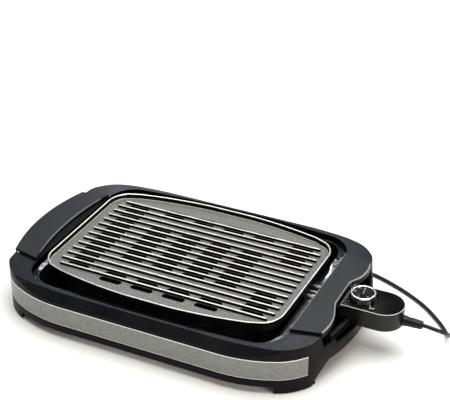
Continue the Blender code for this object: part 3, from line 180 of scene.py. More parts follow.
class GrillColours(bpy.types.PropertyGroup):
    """Base colours of the finishes."""
    frame: colour("Frame", "Satin black of the top frame", "0F1013")
    base: colour("Base", "Grained black of the base", "0D0D0C")
    panel: colour("Panels", "Matt charcoal of the handle panels", "18191B")
    housing: colour("Housing", "Satin black of the control's housing", "0F0F0E")
    cover: colour("Cover", "Polished black of the control's cover", "080807")
    steel: colour("Steel", "Brushed stainless steel", "777875")
    coat: colour("Coat", "Warm grey of the non-stick coat", "6D6E6A")
    # The wall colour is a near-black copy of the coat: a painted shade on the plate's walls and undersides.
    coat_wall_shade: colour("Coat walls", "The same coat on upright walls, darkened as painted shade", "050505")
    # The crown colour is a near-white copy of the coat: a painted highlight on the rib tops and the lip's rim and
    # foot.
    crown_painted_highlight: colour("Crowns", "Painted highlight on the crowns of the ribs and the lip", "E6E4DD")
    enamel: colour("Enamel", "Black enamel of the drip tray", "0A0A0B")
    cord: colour("Cord", "Black sheath of the cord", "080808")


# Finishes

# Sizes of the patterns that aren't in the panel, in metres. The broad ones are as on the real thing.
HANDLED_PATCH = 0.04545
ROLLED_CLOUD = 0.07143
WORN_PATCH = 0.1111
ENAMEL_WAVE = 0.02222
ENAMEL_HAZE = 0.08333
HEAT_CLOUD = 0.03333
DUST_PATCH = 0.02222
PAPER_CLOUD = 0.3333
BRUSH_STREAK = 0.00625
# These are drawn coarser than the real 0.1 to 0.4 mm, because those would be too fine to show
TURNING_MARK = 0.001111
INK_GAP = 0.0006667
RUBBER_PEBBLE = 0.0008
PVC_PEBBLE = 0.0012

# Sockets of a Mix node that mixes colours
MIX_A, MIX_B, MIXED = 6, 7, 2


def connect(tree, node, inputs):
    """Give a node's inputs their values or links."""
    for key, value in inputs.items():
        if isinstance(value, bpy.types.NodeSocket):
            tree.links.new(value, node.inputs[key])
        else:
            node.inputs[key].default_value = value


def add(tree, kind, inputs=None, **settings):
    """Add one shader node with its settings, and values or links for its inputs."""
    made = tree.nodes.new("ShaderNode" + kind)
    for key, value in settings.items():
        setattr(made, key, value)
    connect(tree, made, inputs or {})
    return made


def shade(base, share=1.0):
    """A colour made darker or paler by a share, with the alpha that a socket takes."""
    return (*(min(c * share, 1.0) for c in base[:3]), 1.0)


def start_finish(name, base, roughness, metallic=0.0, specular=0.5):
    """Start a material with its shader's plain values. The last value is the place on the piece."""
    material = bpy.data.materials.new(name)
    material.use_nodes = True
    tree = material.node_tree
    shader = tree.nodes["Principled BSDF"]
    connect(tree, shader, {"Base Color": shade(base), "Roughness": roughness, "Metallic": metallic,
                           "Specular IOR Level": specular})
    return material, tree, shader, add(tree, "TexCoord").outputs["Object"]


def moulded_plastic(name, base, roughness, grain, bump, specular):
    """Injection-moulded ABS: a fine spark-eroded grain breaks up its shine, and handling leaves duller patches.

    The grain is drawn coarser than the real 0.1 to 0.2 mm, so that it shows.
    """
    material, tree, shader, place = start_finish(name, base, roughness, specular=specular)
    fine = add(tree, "TexNoise", {"Vector": place, "Scale": 1 / grain, "Detail": 2.0})
    lift = add(tree, "Bump", {"Strength": bump, "Distance": grain / 8, "Height": fine.outputs["Fac"]})
    handled = add(tree, "TexNoise", {"Vector": place, "Scale": 1 / HANDLED_PATCH, "Detail": 3.0})
    dull = add(tree, "MapRange", {"Value": handled.outputs["Fac"], "From Min": 0.3, "From Max": 0.7,
                                  "To Min": roughness - 0.05, "To Max": roughness + 0.06})
    pale = add(tree, "MapRange", {"Value": handled.outputs["Fac"], "From Min": 0.35, "From Max": 0.65})
    tone = add(tree, "Mix", {"Factor": pale.outputs["Result"], MIX_A: shade(base, 0.90),
                             MIX_B: shade(base, 1.12)}, data_type="RGBA")
    connect(tree, shader, {"Base Color": tone.outputs[MIXED], "Roughness": dull.outputs["Result"],
                           "Normal": lift.outputs["Normal"]})
    return material


def brushed_steel(name, base, spacing):
    """Stainless strip brushed along its length: fine level streaks, here drawn coarser than the real 0.1 mm."""
    material, tree, shader, place = start_finish(name, base, 0.34, 1.0)
    shader.inputs["Anisotropic"].default_value = 0.5
    level = add(tree, "Mapping", {"Vector": place, "Scale": (1 / BRUSH_STREAK, 1 / BRUSH_STREAK, 1 / spacing)})
    streak = add(tree, "TexNoise", {"Vector": level.outputs["Vector"], "Scale": 1.0, "Detail": 4.0})
    lift = add(tree, "Bump", {"Strength": 0.12, "Distance": spacing / 6, "Height": streak.outputs["Fac"]})
    pale = add(tree, "MapRange", {"Value": streak.outputs["Fac"], "From Min": 0.35, "From Max": 0.65})
    tone = add(tree, "Mix", {"Factor": pale.outputs["Result"], MIX_A: shade(base, 0.80),
                             MIX_B: shade(base, 1.22)}, data_type="RGBA")
    cloud = add(tree, "TexNoise", {"Vector": place, "Scale": 1 / ROLLED_CLOUD, "Detail": 2.0})
    dull = add(tree, "MapRange", {"Value": cloud.outputs["Fac"], "From Min": 0.3, "From Max": 0.7,
                                  "To Min": 0.30, "To Max": 0.42})
    connect(tree, shader, {"Base Color": tone.outputs[MIXED], "Roughness": dull.outputs["Result"],
                           "Normal": lift.outputs["Normal"]})
    return material


def nonstick_coat(name, base, speck, roughness, metallic, specular, contrast):
    """Sprayed non-stick coat on die-cast aluminium: an orange-peel skin with pale and dark specks.

    The specks are drawn coarser than the real 0.5 mm, so that they show.
    """
    material, tree, shader, place = start_finish(name, base, roughness, metallic, specular)
    specks = add(tree, "TexNoise", {"Vector": place, "Scale": 1 / speck, "Detail": 3.0, "Roughness": 0.7})
    lift = add(tree, "Bump", {"Strength": 0.3, "Distance": speck / 8, "Height": specks.outputs["Fac"]})
    pale = add(tree, "MapRange", {"Value": specks.outputs["Fac"], "From Min": 0.40, "From Max": 0.62})
    tone = add(tree, "Mix", {"Factor": pale.outputs["Result"], MIX_A: shade(base, 1 - contrast),
                             MIX_B: shade(base, 1 + contrast)}, data_type="RGBA")
    worn = add(tree, "TexNoise", {"Vector": place, "Scale": 1 / WORN_PATCH, "Detail": 4.0})
    dull = add(tree, "MapRange", {"Value": worn.outputs["Fac"], "From Min": 0.3, "From Max": 0.7,
                                  "To Min": roughness - 0.06, "To Max": roughness + 0.08})
    connect(tree, shader, {"Base Color": tone.outputs[MIXED], "Roughness": dull.outputs["Result"],
                           "Normal": lift.outputs["Normal"]})
    return material


def vitreous_enamel(name, base):
    """Fired enamel on pressed steel: glassy and wavy, and a little hazy in places."""
    material, tree, shader, place = start_finish(name, base, 0.10)
    connect(tree, shader, {"Coat Weight": 0.5, "Coat Roughness": 0.04})
    wave = add(tree, "TexNoise", {"Vector": place, "Scale": 1 / ENAMEL_WAVE, "Detail": 2.0})
    lift = add(tree, "Bump", {"Strength": 0.6, "Distance": 0.0008, "Height": wave.outputs["Fac"]})
    haze = add(tree, "TexNoise", {"Vector": place, "Scale": 1 / ENAMEL_HAZE, "Detail": 4.0})
    dull = add(tree, "MapRange", {"Value": haze.outputs["Fac"], "From Min": 0.35, "From Max": 0.7,
                                  "To Min": 0.07, "To Max": 0.2})
    connect(tree, shader, {"Roughness": dull.outputs["Result"], "Normal": lift.outputs["Normal"]})
    return material


def plated_metal(name, base, roughness):
    """Nickel or chrome plate on a turned or stamped piece: bright, with faint turning marks.

    The marks are drawn coarser than the real 0.1 mm.
    """
    material, tree, shader, place = start_finish(name, base, roughness, 1.0)
    marks = add(tree, "TexNoise", {"Vector": place, "Scale": 1 / TURNING_MARK, "Detail": 1.0})
    dull = add(tree, "MapRange", {"Value": marks.outputs["Fac"], "From Min": 0.3, "From Max": 0.7,
                                  "To Min": roughness * 0.8, "To Max": roughness * 1.3})
    connect(tree, shader, {"Roughness": dull.outputs["Result"]})
    return material


def oxidised_sheath(name):
    """Drawn heater sheath, oxidised by use: brown and blue-grey clouds on dull steel."""
    material, tree, shader, place = start_finish(name, linear("6E6861"), 0.42, 0.85)
    heat = add(tree, "TexNoise", {"Vector": place, "Scale": 1 / HEAT_CLOUD, "Detail": 4.0})
    cloud = add(tree, "MapRange", {"Value": heat.outputs["Fac"], "From Min": 0.35, "From Max": 0.65})
    tone = add(tree, "Mix", {"Factor": cloud.outputs["Result"], MIX_A: shade(linear("5A4F46")),
                             MIX_B: shade(linear("7D7C7A"))}, data_type="RGBA")
    connect(tree, shader, {"Base Color": tone.outputs[MIXED]})
    return material


def soft_sheath(name, base, roughness, grain):
    """Soft PVC or rubber: matt, with a slightly pebbled skin and dusty patches."""
    material, tree, shader, place = start_finish(name, base, roughness, specular=0.3)
    pebble = add(tree, "TexNoise", {"Vector": place, "Scale": 1 / grain, "Detail": 2.0})
    lift = add(tree, "Bump", {"Strength": 0.2, "Distance": grain / 8, "Height": pebble.outputs["Fac"]})
    dust = add(tree, "TexNoise", {"Vector": place, "Scale": 1 / DUST_PATCH, "Detail": 3.0})
    pale = add(tree, "MapRange", {"Value": dust.outputs["Fac"], "From Min": 0.35, "From Max": 0.7})
    tone = add(tree, "Mix", {"Factor": pale.outputs["Result"], MIX_A: shade(base, 0.85),
                             MIX_B: shade(base, 1.35)}, data_type="RGBA")
    connect(tree, shader, {"Base Color": tone.outputs[MIXED], "Normal": lift.outputs["Normal"]})
    return material


def printed_ink(name, base):
    """Pad-printed ink, slightly thin in places."""
    material, tree, shader, place = start_finish(name, base, 0.5)
    gaps = add(tree, "TexNoise", {"Vector": place, "Scale": 1 / INK_GAP, "Detail": 1.0})
    thin = add(tree, "MapRange", {"Value": gaps.outputs["Fac"], "From Min": 0.3, "From Max": 0.7})
    tone = add(tree, "Mix", {"Factor": thin.outputs["Result"], MIX_A: shade(base, 0.9), MIX_B: shade(base)},
               data_type="RGBA")
    connect(tree, shader, {"Base Color": tone.outputs[MIXED]})
    return material


FINISHES = {}


def make_finishes():
    """Mix every finish. The edge finishes are paler than the faces beside them: a painted highlight where a rounded
    edge catches the light.
    """
    sizes, colours = bpy.context.scene.grill_sizes, bpy.context.scene.grill_colours
    plastics = (  # colour, roughness, strength of the grain, specular level
        ("frame_abs", colours.frame, 0.30, 0.15, 0.35),
        # The frame, opening, panel and cover edge finishes are paler colours for bevels: painted highlights.
        ("frame_edge_highlight", shade(colours.frame, 1.6), 0.24, 0.02, 0.45),
        ("opening_edge_highlight", linear("8A8C90"), 0.22, 0.02, 0.9),
        # The base finish is the base's own grained black. It is also a painted shade on the frame's and panels'
        # walls and ledges.
        ("base_abs_and_painted_shade", colours.base, 0.42, 0.25, 0.07),
        ("panel_abs", colours.panel, 0.42, 0.35, 0.35),
        ("panel_edge_highlight", linear("8E8F91"), 0.22, 0.02, 0.9),
        ("housing_abs", colours.housing, 0.30, 0.10, 0.26),
        ("cover_abs", colours.cover, 0.14, 0.03, 0.35),
        ("cover_edge_highlight", linear("B4B4B0"), 0.18, 0.02, 0.9),
        ("dial_blue", linear("0B0C16"), 0.14, 0.02, 0.5),
        ("phenolic_block", linear("3A2C20"), 0.55, 0.25, 0.5),
    )
    for name, base, roughness, bump, specular in plastics:
        FINISHES[name] = moulded_plastic(name, base, roughness, sizes.grain, bump, specular)
    coats = (  # colour, roughness, metallic, specular level, contrast of the specks
        # Three copies of one coat: the wall copy is near-black for painted shade, and the crown copy is near-white
        # for painted highlights.
        ("nonstick_top", colours.coat, 0.42, 0.25, 0.5, 0.45),
        ("nonstick_wall_painted_shade", colours.coat_wall_shade, 0.5, 0.0, 0.12, 0.30),
        ("nonstick_crown_highlight", colours.crown_painted_highlight, 0.28, 0.6, 0.5, 0.15),
    )
    for name, base, roughness, metallic, specular, contrast in coats:
        FINISHES[name] = nonstick_coat(name, base, sizes.speckle, roughness, metallic, specular, contrast)
    plates = (  # colour, roughness
        # The first one is a pale steel for the band's edge strips: a painted highlight.
        ("steel_edge_highlight", "E8E6E0", 0.22),
        ("nickel_plate", "BDB7AD", 0.24),
        # A duller, darker grey plate than the nickel, for the pins and the probe under the plate.
        ("darker_pin_plate", "7C7C7E", 0.34),
        ("chrome_plate", "F0F0F2", 0.20),
    )
    for name, code, roughness in plates:
        FINISHES[name] = plated_metal(name, linear(code), roughness)
    for name, code in (("white_ink", "D8D6CE"), ("amber_ink", "A98A62")):
        FINISHES[name] = printed_ink(name, linear(code))
    FINISHES["brushed_stainless"] = brushed_steel("brushed_stainless", colours.steel, sizes.brush)
    FINISHES["tray_enamel"] = vitreous_enamel("tray_enamel", colours.enamel)
    FINISHES["heater_sheath"] = oxidised_sheath("heater_sheath")
    FINISHES["foot_rubber"] = soft_sheath("foot_rubber", linear("181817"), 0.8, RUBBER_PEBBLE)
    FINISHES["cord_pvc"] = soft_sheath("cord_pvc", colours.cord, 0.42, PVC_PEBBLE)


# Modelling helpers

def ease(value, start, end):
    """A smooth step from 0 at the start to 1 at the end."""
    t = min(max((value - start) / (end - start), 0), 1)
    return t * t * (3 - 2 * t)


def only(*pieces):
    """Select these pieces and nothing else."""
    for obj in bpy.context.selected_objects:
        obj.select_set(False)
    for piece in pieces:
        piece.select_set(True)
    bpy.context.view_layer.objects.active = pieces[0]


def editing(piece):
    """Open a piece in edit mode, and give its mesh."""
    only(piece)
    bpy.ops.object.mode_set(mode="EDIT")
    bpy.ops.mesh.select_mode(type="EDGE")
    return bmesh.from_edit_mesh(piece.data)


def done_editing():
    """Close edit mode."""
    bpy.ops.object.mode_set(mode="OBJECT")


def merged_copy(node, name):
    """A new mesh that starts from one solid of the frame, with its loose triangles merged into plain faces."""
    piece = bpy.data.objects.new(name, frame["nodes"][node].data.copy())
    piece.data.name = name
    bpy.context.collection.objects.link(piece)
    editing(piece)
    bpy.ops.mesh.select_all(action="SELECT")
    bpy.ops.mesh.remove_doubles(threshold=WELD)
    bpy.ops.mesh.customdata_custom_splitnormals_clear()
    bpy.ops.mesh.dissolve_limited(angle_limit=FLAT)
    done_editing()
    return piece


def cut_through(piece, place, normal):
    """Cut a piece's faces along a plane."""
    editing(piece)
    bpy.ops.mesh.select_all(action="SELECT")
    bpy.ops.mesh.bisect(plane_co=place, plane_no=normal)
    done_editing()


def outline(half_length, half_depth, bow, bow_turn, corner, shift=(0.0, 0.0)):
    """Points along an outline whose long sides bow in towards its round corners."""
    bow_steps, corner_steps = 12, 24
    flat = half_length - bow * sin(bow_turn) - corner * (1 - sin(bow_turn))
    run = []
    for i in range(bow_steps + 1):
        turn = bow_turn * i / bow_steps
        run.append((flat + bow * sin(turn), half_depth - bow * (1 - cos(turn))))
    x, y = run[-1]
    for i in range(1, corner_steps + 1):
        turn = bow_turn + (pi / 2 - bow_turn) * i / corner_steps
        run.append((x + corner * (sin(turn) - sin(bow_turn)), y - corner * (cos(bow_turn) - cos(turn))))
    run = [(0.0, half_depth)] + run + [(half_length, 0.0)]
    ring = run + [(px, -py) for px, py in reversed(run)]
    ring += [(-px, py) for px, py in reversed(ring)]
    return [(px + shift[0] + SHIFT_X, py + shift[1]) for px, py in ring]


def reach_of(ring):
    """How far out an outline lies, as a function of a direction's angle."""
    polar = sorted({round(atan2(y, x - SHIFT_X), 6): hypot(x - SHIFT_X, y) for x, y in ring}.items())
    angles = [a for a, r in polar]

    def reach(x, y):
        angle = atan2(y, x - SHIFT_X)
        k = bisect(angles, angle) % len(polar)
        (a, r), (b, s) = polar[k - 1], polar[k]
        span = (b - a) % tau
        return r + (s - r) * (((angle - a) % tau) / span if span > 1e-9 else 0.0)
    return reach


def redraw(piece, before, after, inside, outside):
    """Move a piece's edge from one outline to another, and fade the change out between two distances from it."""
    start, end = reach_of(before), reach_of(after)
    mesh = editing(piece)
    for vert in mesh.verts:
        x, y = vert.co.x, vert.co.y
        away = hypot(x - SHIFT_X, y)
        past = away - start(x, y)
        fade = inside if past < 0 else outside
        share = 1 - ease(abs(past), *fade)
        if share > 0:
            change = share * (end(x, y) - start(x, y)) / away
            vert.co.x += (x - SHIFT_X) * change
            vert.co.y += y * change
    bmesh.update_edit_mesh(piece.data)
    done_editing()


def round_edges(piece, width, segments, test, finish=-1):
    """Bevel the creased edges that a test picks by themselves and their middle, with a slot for the new faces."""
    mesh = editing(piece)
    found = False
    for edge in mesh.edges:
        creased = len(edge.link_faces) == 2 and edge.calc_face_angle(0) > CREASE
        wanted = creased and test(edge, (edge.verts[0].co + edge.verts[1].co) / 2)
        edge.select_set(wanted)
        found = found or wanted
    bmesh.update_edit_mesh(piece.data)
    if found:
        bpy.ops.mesh.bevel(offset=width, segments=segments, affect="EDGES", clamp_overlap=True, material=finish)
    done_editing()


def recess(piece, side, rim, wall, depth):
    """Sink a pocket with a sloping wall into the broadest face that looks up (1) or down (-1)."""
    mesh = editing(piece)
    bpy.ops.mesh.select_mode(type="FACE")
    bpy.ops.mesh.select_all(action="DESELECT")
    face = max((f for f in mesh.faces if f.normal.z * side > 0.9), key=lambda f: f.calc_area())
    face.select_set(True)
    bmesh.update_edit_mesh(piece.data)
    bpy.ops.mesh.inset(thickness=rim)
    bpy.ops.mesh.inset(thickness=wall, depth=-depth)
    done_editing()


def smooth(piece, angle=SHARP):
    """Shade smoothly up to an angle, with broad faces kept flat."""
    only(piece)
    bpy.ops.object.shade_smooth_by_angle(angle=angle)
    weight = piece.modifiers.new("flat faces", "WEIGHTED_NORMAL")
    weight.keep_sharp = True
    bpy.ops.object.modifier_apply(modifier=weight.name)


def settle(piece):
    """Put a piece's place into its mesh."""
    only(piece)
    bpy.ops.object.transform_apply(location=True, rotation=True, scale=True)


def dress(piece, finish, body, slot, *nodes, edge=None):
    """Give a piece its finish, the body it rides on and the solids it stands for. The record slot is not used."""
    piece.data.materials.clear()
    for name in (finish, edge):
        if name:
            piece.data.materials.append(FINISHES[name])
    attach(piece, body)
    if nodes:
        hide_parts(*nodes)


def refinish(finish, *nodes):
    """Give solids of the frame that stay visible a better material."""
    for node in nodes:
        for slot in frame["nodes"][node].material_slots:
            slot.material = FINISHES[finish]


def joined(pieces, name):
    """Join pieces into one."""
    only(*pieces)
    bpy.ops.object.join()
    pieces[0].name = name
    pieces[0].data.name = name
    return pieces[0]


def cube(name, low, high):
    """A block between two corners."""
    middle_of = [(a + b) / 2 for a, b in zip(low, high)]
    bpy.ops.mesh.primitive_cube_add(size=1.0, location=middle_of)
    piece = bpy.context.object
    piece.name = name
    piece.scale = [b - a for a, b in zip(low, high)]
    settle(piece)
    return piece


def spun(name, profile, centre, steps, closed=False):
    """Spin a profile of (radius, height) points round an upright axis."""
    bpy.ops.mesh.primitive_plane_add(size=0.001, calc_uvs=False, location=(0, 0, 0))
    piece = bpy.context.object
    piece.name = name
    piece.data.name = name
    editing(piece)
    bpy.ops.mesh.select_mode(type="VERT")
    bpy.ops.mesh.select_all(action="SELECT")
    bpy.ops.mesh.merge(type="CENTER")
    x, z = profile[0]
    bpy.ops.transform.translate(value=(x, 0, z))
    for next_x, next_z in profile[1:]:
        bpy.ops.mesh.extrude_vertices_move(TRANSFORM_OT_translate={"value": (next_x - x, 0, next_z - z)})
        x, z = next_x, next_z
    mesh = bmesh.from_edit_mesh(piece.data)
    if closed:
        for vert in mesh.verts:
            vert.select_set(len(vert.link_edges) == 1)
        bmesh.update_edit_mesh(piece.data)
        bpy.ops.mesh.edge_face_add()
    bpy.ops.mesh.select_all(action="SELECT")
    bpy.ops.mesh.spin(steps=steps, angle=tau, center=(0, 0, 0), axis=(0, 0, 1))
    bpy.ops.mesh.select_all(action="SELECT")
    bpy.ops.mesh.remove_doubles(threshold=WELD)
    bpy.ops.mesh.normals_make_consistent(inside=False)
    done_editing()
    piece.location = centre
    settle(piece)
    return piece


def lettering(text, height, place, turn, name):
    """Print raised by 0.04 mm, made a mesh."""
    bpy.ops.object.text_add(location=place, rotation=(0, 0, turn))
    letters = bpy.context.object
    letters.data.body = text
    letters.data.size = height
    letters.data.align_x = "CENTER"
    letters.data.align_y = "CENTER"
    letters.data.extrude = PRINT_RAISE
    letters.data.resolution_u = 3
    only(letters)
    bpy.ops.object.convert(target="MESH")
    letters = bpy.context.object
    letters.name = name
    settle(letters)
    return letters


# Camera and studio

class GRILL_OT_camera(bpy.types.Operator):
    """Set the camera at the picture's viewing angle"""
    bl_idname = "grill.camera"
    bl_label = "Camera"

    def execute(self, context):
        target = Vector(CAMERA_AIM)
        level = cos(CAMERA_LIFT)
        towards = Vector((sin(CAMERA_TURN) * level, -cos(CAMERA_TURN) * level, sin(CAMERA_LIFT)))
        place = target + CAMERA_AWAY * towards
        facing = (target - place).to_track_quat("-Z", "Y").to_euler()
        bpy.ops.object.camera_add(location=place, rotation=facing)
        camera = context.object
        camera.name = "picture_camera"
        camera.data.sensor_fit = "HORIZONTAL"
        camera.data.sensor_width = SENSOR_WIDTH
        camera.data.lens = CAMERA_FOCAL * SENSOR_WIDTH / FRAME_WIDTH
        camera.data.clip_end = 20.0
        context.scene.camera = camera
        return {"FINISHED"}


def softbox(name, place, aim, width, height, power, tone):
    """A soft area lamp that looks at a point."""
    bpy.ops.object.light_add(type="AREA", location=place)
    lamp = bpy.context.object
    lamp.name = name
    lamp.rotation_euler = (Vector(aim) - Vector(place)).to_track_quat("-Z", "Y").to_euler()
    lamp.data.shape = "RECTANGLE"
    lamp.data.size = width
    lamp.data.size_y = height
    lamp.data.energy = power
    lamp.data.color = linear(tone)


class GRILL_OT_stage(bpy.types.Operator):
    """Lay the pale floor and set up the soft lights"""
    bl_idname = "grill.stage"
    bl_label = "Stage"

    def execute(self, context):
        bpy.ops.mesh.primitive_plane_add(size=FLOOR_SIZE, location=FLOOR_CENTRE)
        floor = context.object
        floor.name = "studio_floor"
        material, tree, shader, place = start_finish("studio_paper", linear("F4F4F2"), 0.9, specular=0.1)
        fibre = add(tree, "TexNoise", {"Vector": place, "Scale": 1 / PAPER_CLOUD, "Detail": 2.0})
        pale = add(tree, "MapRange", {"Value": fibre.outputs["Fac"], "From Min": 0.3, "From Max": 0.7})
        tone = add(tree, "Mix", {"Factor": pale.outputs["Result"], MIX_A: shade(linear("F2F2F0")),
                                 MIX_B: shade(linear("F6F6F5"))}, data_type="RGBA")
        connect(tree, shader, {"Base Color": tone.outputs[MIXED]})
        floor.data.materials.append(material)
        for lamp in LAMPS:
            softbox(*lamp)
        world = context.scene.world or bpy.data.worlds.new("studio")
        context.scene.world = world
        world.use_nodes = True
        back = world.node_tree.nodes["Background"]
        connect(world.node_tree, back, {"Color": shade(linear(SKY_TONE)), "Strength": SKY_STRENGTH})
        context.scene.view_settings.view_transform = "Standard"
        return {"FINISHED"}


# Cord, strain relief and plug

def smooth_route(points, spacing):
    """Even points along the smooth curve through a route."""
    reads = 12
    dense = []
    for i in range(len(points) - 1):
        before, start = Vector(points[max(i - 1, 0)]), Vector(points[i])
        end, after = Vector(points[i + 1]), Vector(points[min(i + 2, len(points) - 1)])
        for k in range(reads):
            t = k / reads
            dense.append(0.5 * (2 * start + (end - before) * t + (2 * before - 5 * start + 4 * end - after) * t ** 2
                                + (3 * start - before - 3 * end + after) * t ** 3))
    dense.append(Vector(points[-1]))
    total = sum((b - a).length for a, b in zip(dense, dense[1:]))
    count = max(round(total / spacing), 1)
    read, walked = [dense[0]], 0.0
    for a, b in zip(dense, dense[1:]):
        step = (b - a).length
        while len(read) < count and walked + step >= total * len(read) / count:
            read.append(a.lerp(b, (total * len(read) / count - walked) / step))
        walked += step
    return read + [dense[-1]]


def coil_points():
    """Two flat layers of turns: inwards below, up a layer where it reverses, then outwards."""
    turns_down = (COIL_TURNS - 0.5) / 2
    reverse = turns_down + 0.25
    points = []
    for i in range(round(COIL_TURNS * COIL_STEPS) + 1):
        t = i / COIL_STEPS
        radius = COIL_OUTER_RADIUS - COIL_PITCH * (t if t < reverse else 2 * reverse - t)
        climb = ease(t, turns_down, turns_down + 0.5)
        angle = -pi / 2 - tau * t
        points.append(Vector((COIL_CENTRE[0] + radius * cos(angle), COIL_CENTRE[1] + radius * sin(angle),
                              COIL_LOW + COIL_PITCH * climb)))
    return points


class GRILL_OT_cord(bpy.types.Operator):
    """Mould the plug and lay the mains cord from the control to its coil and plug"""
    bl_idname = "grill.cord"
    bl_label = "Cord"

    def execute(self, context):
        plug = merged_copy("plug_body", "moulded_plug")
        round_edges(plug, 0.0008, 2, lambda e, m: e.calc_length() > 0.003)
        recess(plug, 1, 0.0030, 0.0006, 0.0006)
        dress(plug, "cord_pvc", "controller", "cord_black", "plug_body")
        smooth(plug, SHARP_ROUND)
        spacing = 1.2 * CORD_DIAMETER
        route, lead = smooth_route(CORD_ROUTE, spacing), smooth_route(LEAD_ROUTE, spacing)
        path = [p + Vector((SHIFT_X, 0, 0)) for p in route[:-1] + coil_points() + lead[1:]]
        line = bpy.data.curves.new("mains_cord", "CURVE")
        line.dimensions = "3D"
        line.bevel_depth = CORD_DIAMETER / 2
        line.bevel_resolution = 4
        line.use_fill_caps = True
        spline = line.splines.new("POLY")
        spline.points.add(len(path) - 1)
        for spot, point in zip(spline.points, path):
            spot.co = (*point, 1.0)
        cord = bpy.data.objects.new("mains_cord", line)
        context.collection.objects.link(cord)
        dress(cord, "cord_pvc", "controller", "cord_black", "power_cord", "cord_coil", "plug_lead")
        return {"FINISHED"}


class GRILL_OT_relief(bpy.types.Operator):
    """Turn the strain relief with its collar and grip rings"""
    bl_idname = "grill.relief"
    bl_label = "Strain relief"

    def execute(self, context):
        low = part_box("strain_relief")[0].x
        length = RELIEF_END_X - low
        first_groove, groove_pitch = 0.0075, 0.0030
        profile = [(0.0, 0.0), (0.0082, 0.0), (0.0082, 0.0044), (0.0076, 0.0052)]
        for i in range(3):
            at = first_groove + i * groove_pitch
            profile += [(0.0074, at), (0.0067, at + 0.0004), (0.0067, at + 0.0012), (0.0074, at + 0.0016)]
        profile += [(0.0070, length * 0.62), (0.0064, length - 0.0010), (0.0058, length), (0.0, length)]
        relief = spun("cord_relief", profile, (0, 0, 0), 40)
        relief.rotation_euler = (0, pi / 2, 0)
        relief.location = (low, CONTROLLER_Y, RELIEF_HEIGHT)
        settle(relief)
        smooth(relief, SHARP_ROUND)
        dress(relief, "cord_pvc", "controller", "cord_black", "strain_relief")
        return {"FINISHED"}


# Cooking plate and heater

class GRILL_OT_plate(bpy.types.Operator):
    """Cast the ribbed and slotted cooking plate"""
    bl_idname = "grill.plate"
    bl_label = "Cooking plate"

    def execute(self, context):
        sizes = context.scene.grill_sizes
        plate = merged_copy("grill_plate", "cooking_plate")
        self.widen_slots(plate, sizes.slot_room)
        inner_fade, outer_fade = (0.0065, 0.0130), (0.0040, 0.0080)
        redraw(plate, outline(*SOLID_LIP), outline(*LIP), inner_fade, outer_fade)
        rim = reach_of(outline(*LIP))
        self.steepen_lip(plate, rim, sizes.lip_rise, sizes.lip_steepness)
        dress(plate, "nonstick_top", "plate", "nonstick", "grill_plate", edge="nonstick_wall_painted_shade")
        plate.data.materials.append(FINISHES["nonstick_crown_highlight"])
        # Walls and undersides take the near-black wall coat, a painted shade. Flat tops at the ribs' height take
        # the pale crown coat, a painted highlight.
        for face in plate.data.polygons:
            face.material_index = 1 if face.normal.z < 0.45 else 0
            if face.normal.z > 0.9 and face.center.z > RIB_TOP - LEVEL:
                face.material_index = 2
        lip_top = LIP_TOP + sizes.lip_rise

        def at_level(edge, level):
            return all(abs(v.co.z - level) < LEVEL for v in edge.verts)

        def at_foot(edge):
            for x, y, z in (v.co for v in edge.verts):
                if abs(z - PLATE_FLOOR) > NEAR_FLOOR or rim(x, y) - hypot(x - SHIFT_X, y) > FOOT_REACH:
                    return False
            return True
        # The bevels on the rib tops, the lip's rim and the foot of its inner wall also take the pale crown coat:
        # painted highlight lines.
        round_edges(plate, sizes.rib_round, 2, lambda e, m: at_level(e, RIB_TOP), finish=2)
        round_edges(plate, sizes.lip_round, 3, lambda e, m: at_level(e, lip_top), finish=2)
        round_edges(plate, FOOT_ROUND, 2, lambda e, m: at_foot(e), finish=2)
        smooth(plate)
        return {"FINISHED"}

    def widen_slots(self, plate, room):
        """Widen each slot by the front of a rib: its side by the rib stays, and its far side moves by the room."""
        near, far, depth = 0.0028, 0.0104, 0.0076
        mesh = editing(plate)
        corners = set()
        for edge in mesh.edges:
            low, high = sorted(edge.verts, key=lambda v: v.co.z)
            upright = (low.co.xy - high.co.xy).length < 2 * WELD
            through = abs(high.co.z - low.co.z - SLOT_DEPTH) < 2 * LEVEL
            if upright and through and abs(high.co.z - PLATE_FLOOR) < LEVEL:
                corners.update((low, high))
        for vert in corners:
            ahead = (FIRST_RIB_Y - vert.co.y) % RIB_PITCH
            if near - LEVEL / 2 < ahead < far + LEVEL:
                vert.co.y -= room * (ahead - near) / depth
        bmesh.update_edit_mesh(plate.data)
        done_editing()

    def steepen_lip(self, plate, rim, rise, step):
        """Raise the lip's rim and draw the foot of its inner wall outwards."""
        mesh = editing(plate)
        for vert in mesh.verts:
            x, y, z = vert.co
            away = hypot(x - SHIFT_X, y)
            if z > LIP_TOP - LEVEL:
                vert.co.z += rise
            elif abs(z - PLATE_FLOOR) < NEAR_FLOOR and abs(rim(x, y) - away - LIP_FOOT_IN) < LIP_FOOT_ROOM:
                vert.co.x += (x - SHIFT_X) / away * step
                vert.co.y += y / away * step
        bmesh.update_edit_mesh(plate.data)
        done_editing()


class GRILL_OT_heater(bpy.types.Operator):
    """Finish the metal and the switch that stay as solids: heater, pins, probe, forks, shaft and blades"""
    bl_idname = "grill.heater"
    bl_label = "Heater"

    def execute(self, context):
        refinish("heater_sheath", "heating_element")
        refinish("darker_pin_plate", "terminal_pin_front", "terminal_pin_rear", "thermostat_probe")
        refinish("nickel_plate", "contact_fork_front", "contact_fork_rear", "dial_shaft", "plug_blade_a",
                 "plug_blade_b")
        refinish("phenolic_block", "thermostat_switch")
        return {"FINISHED"}


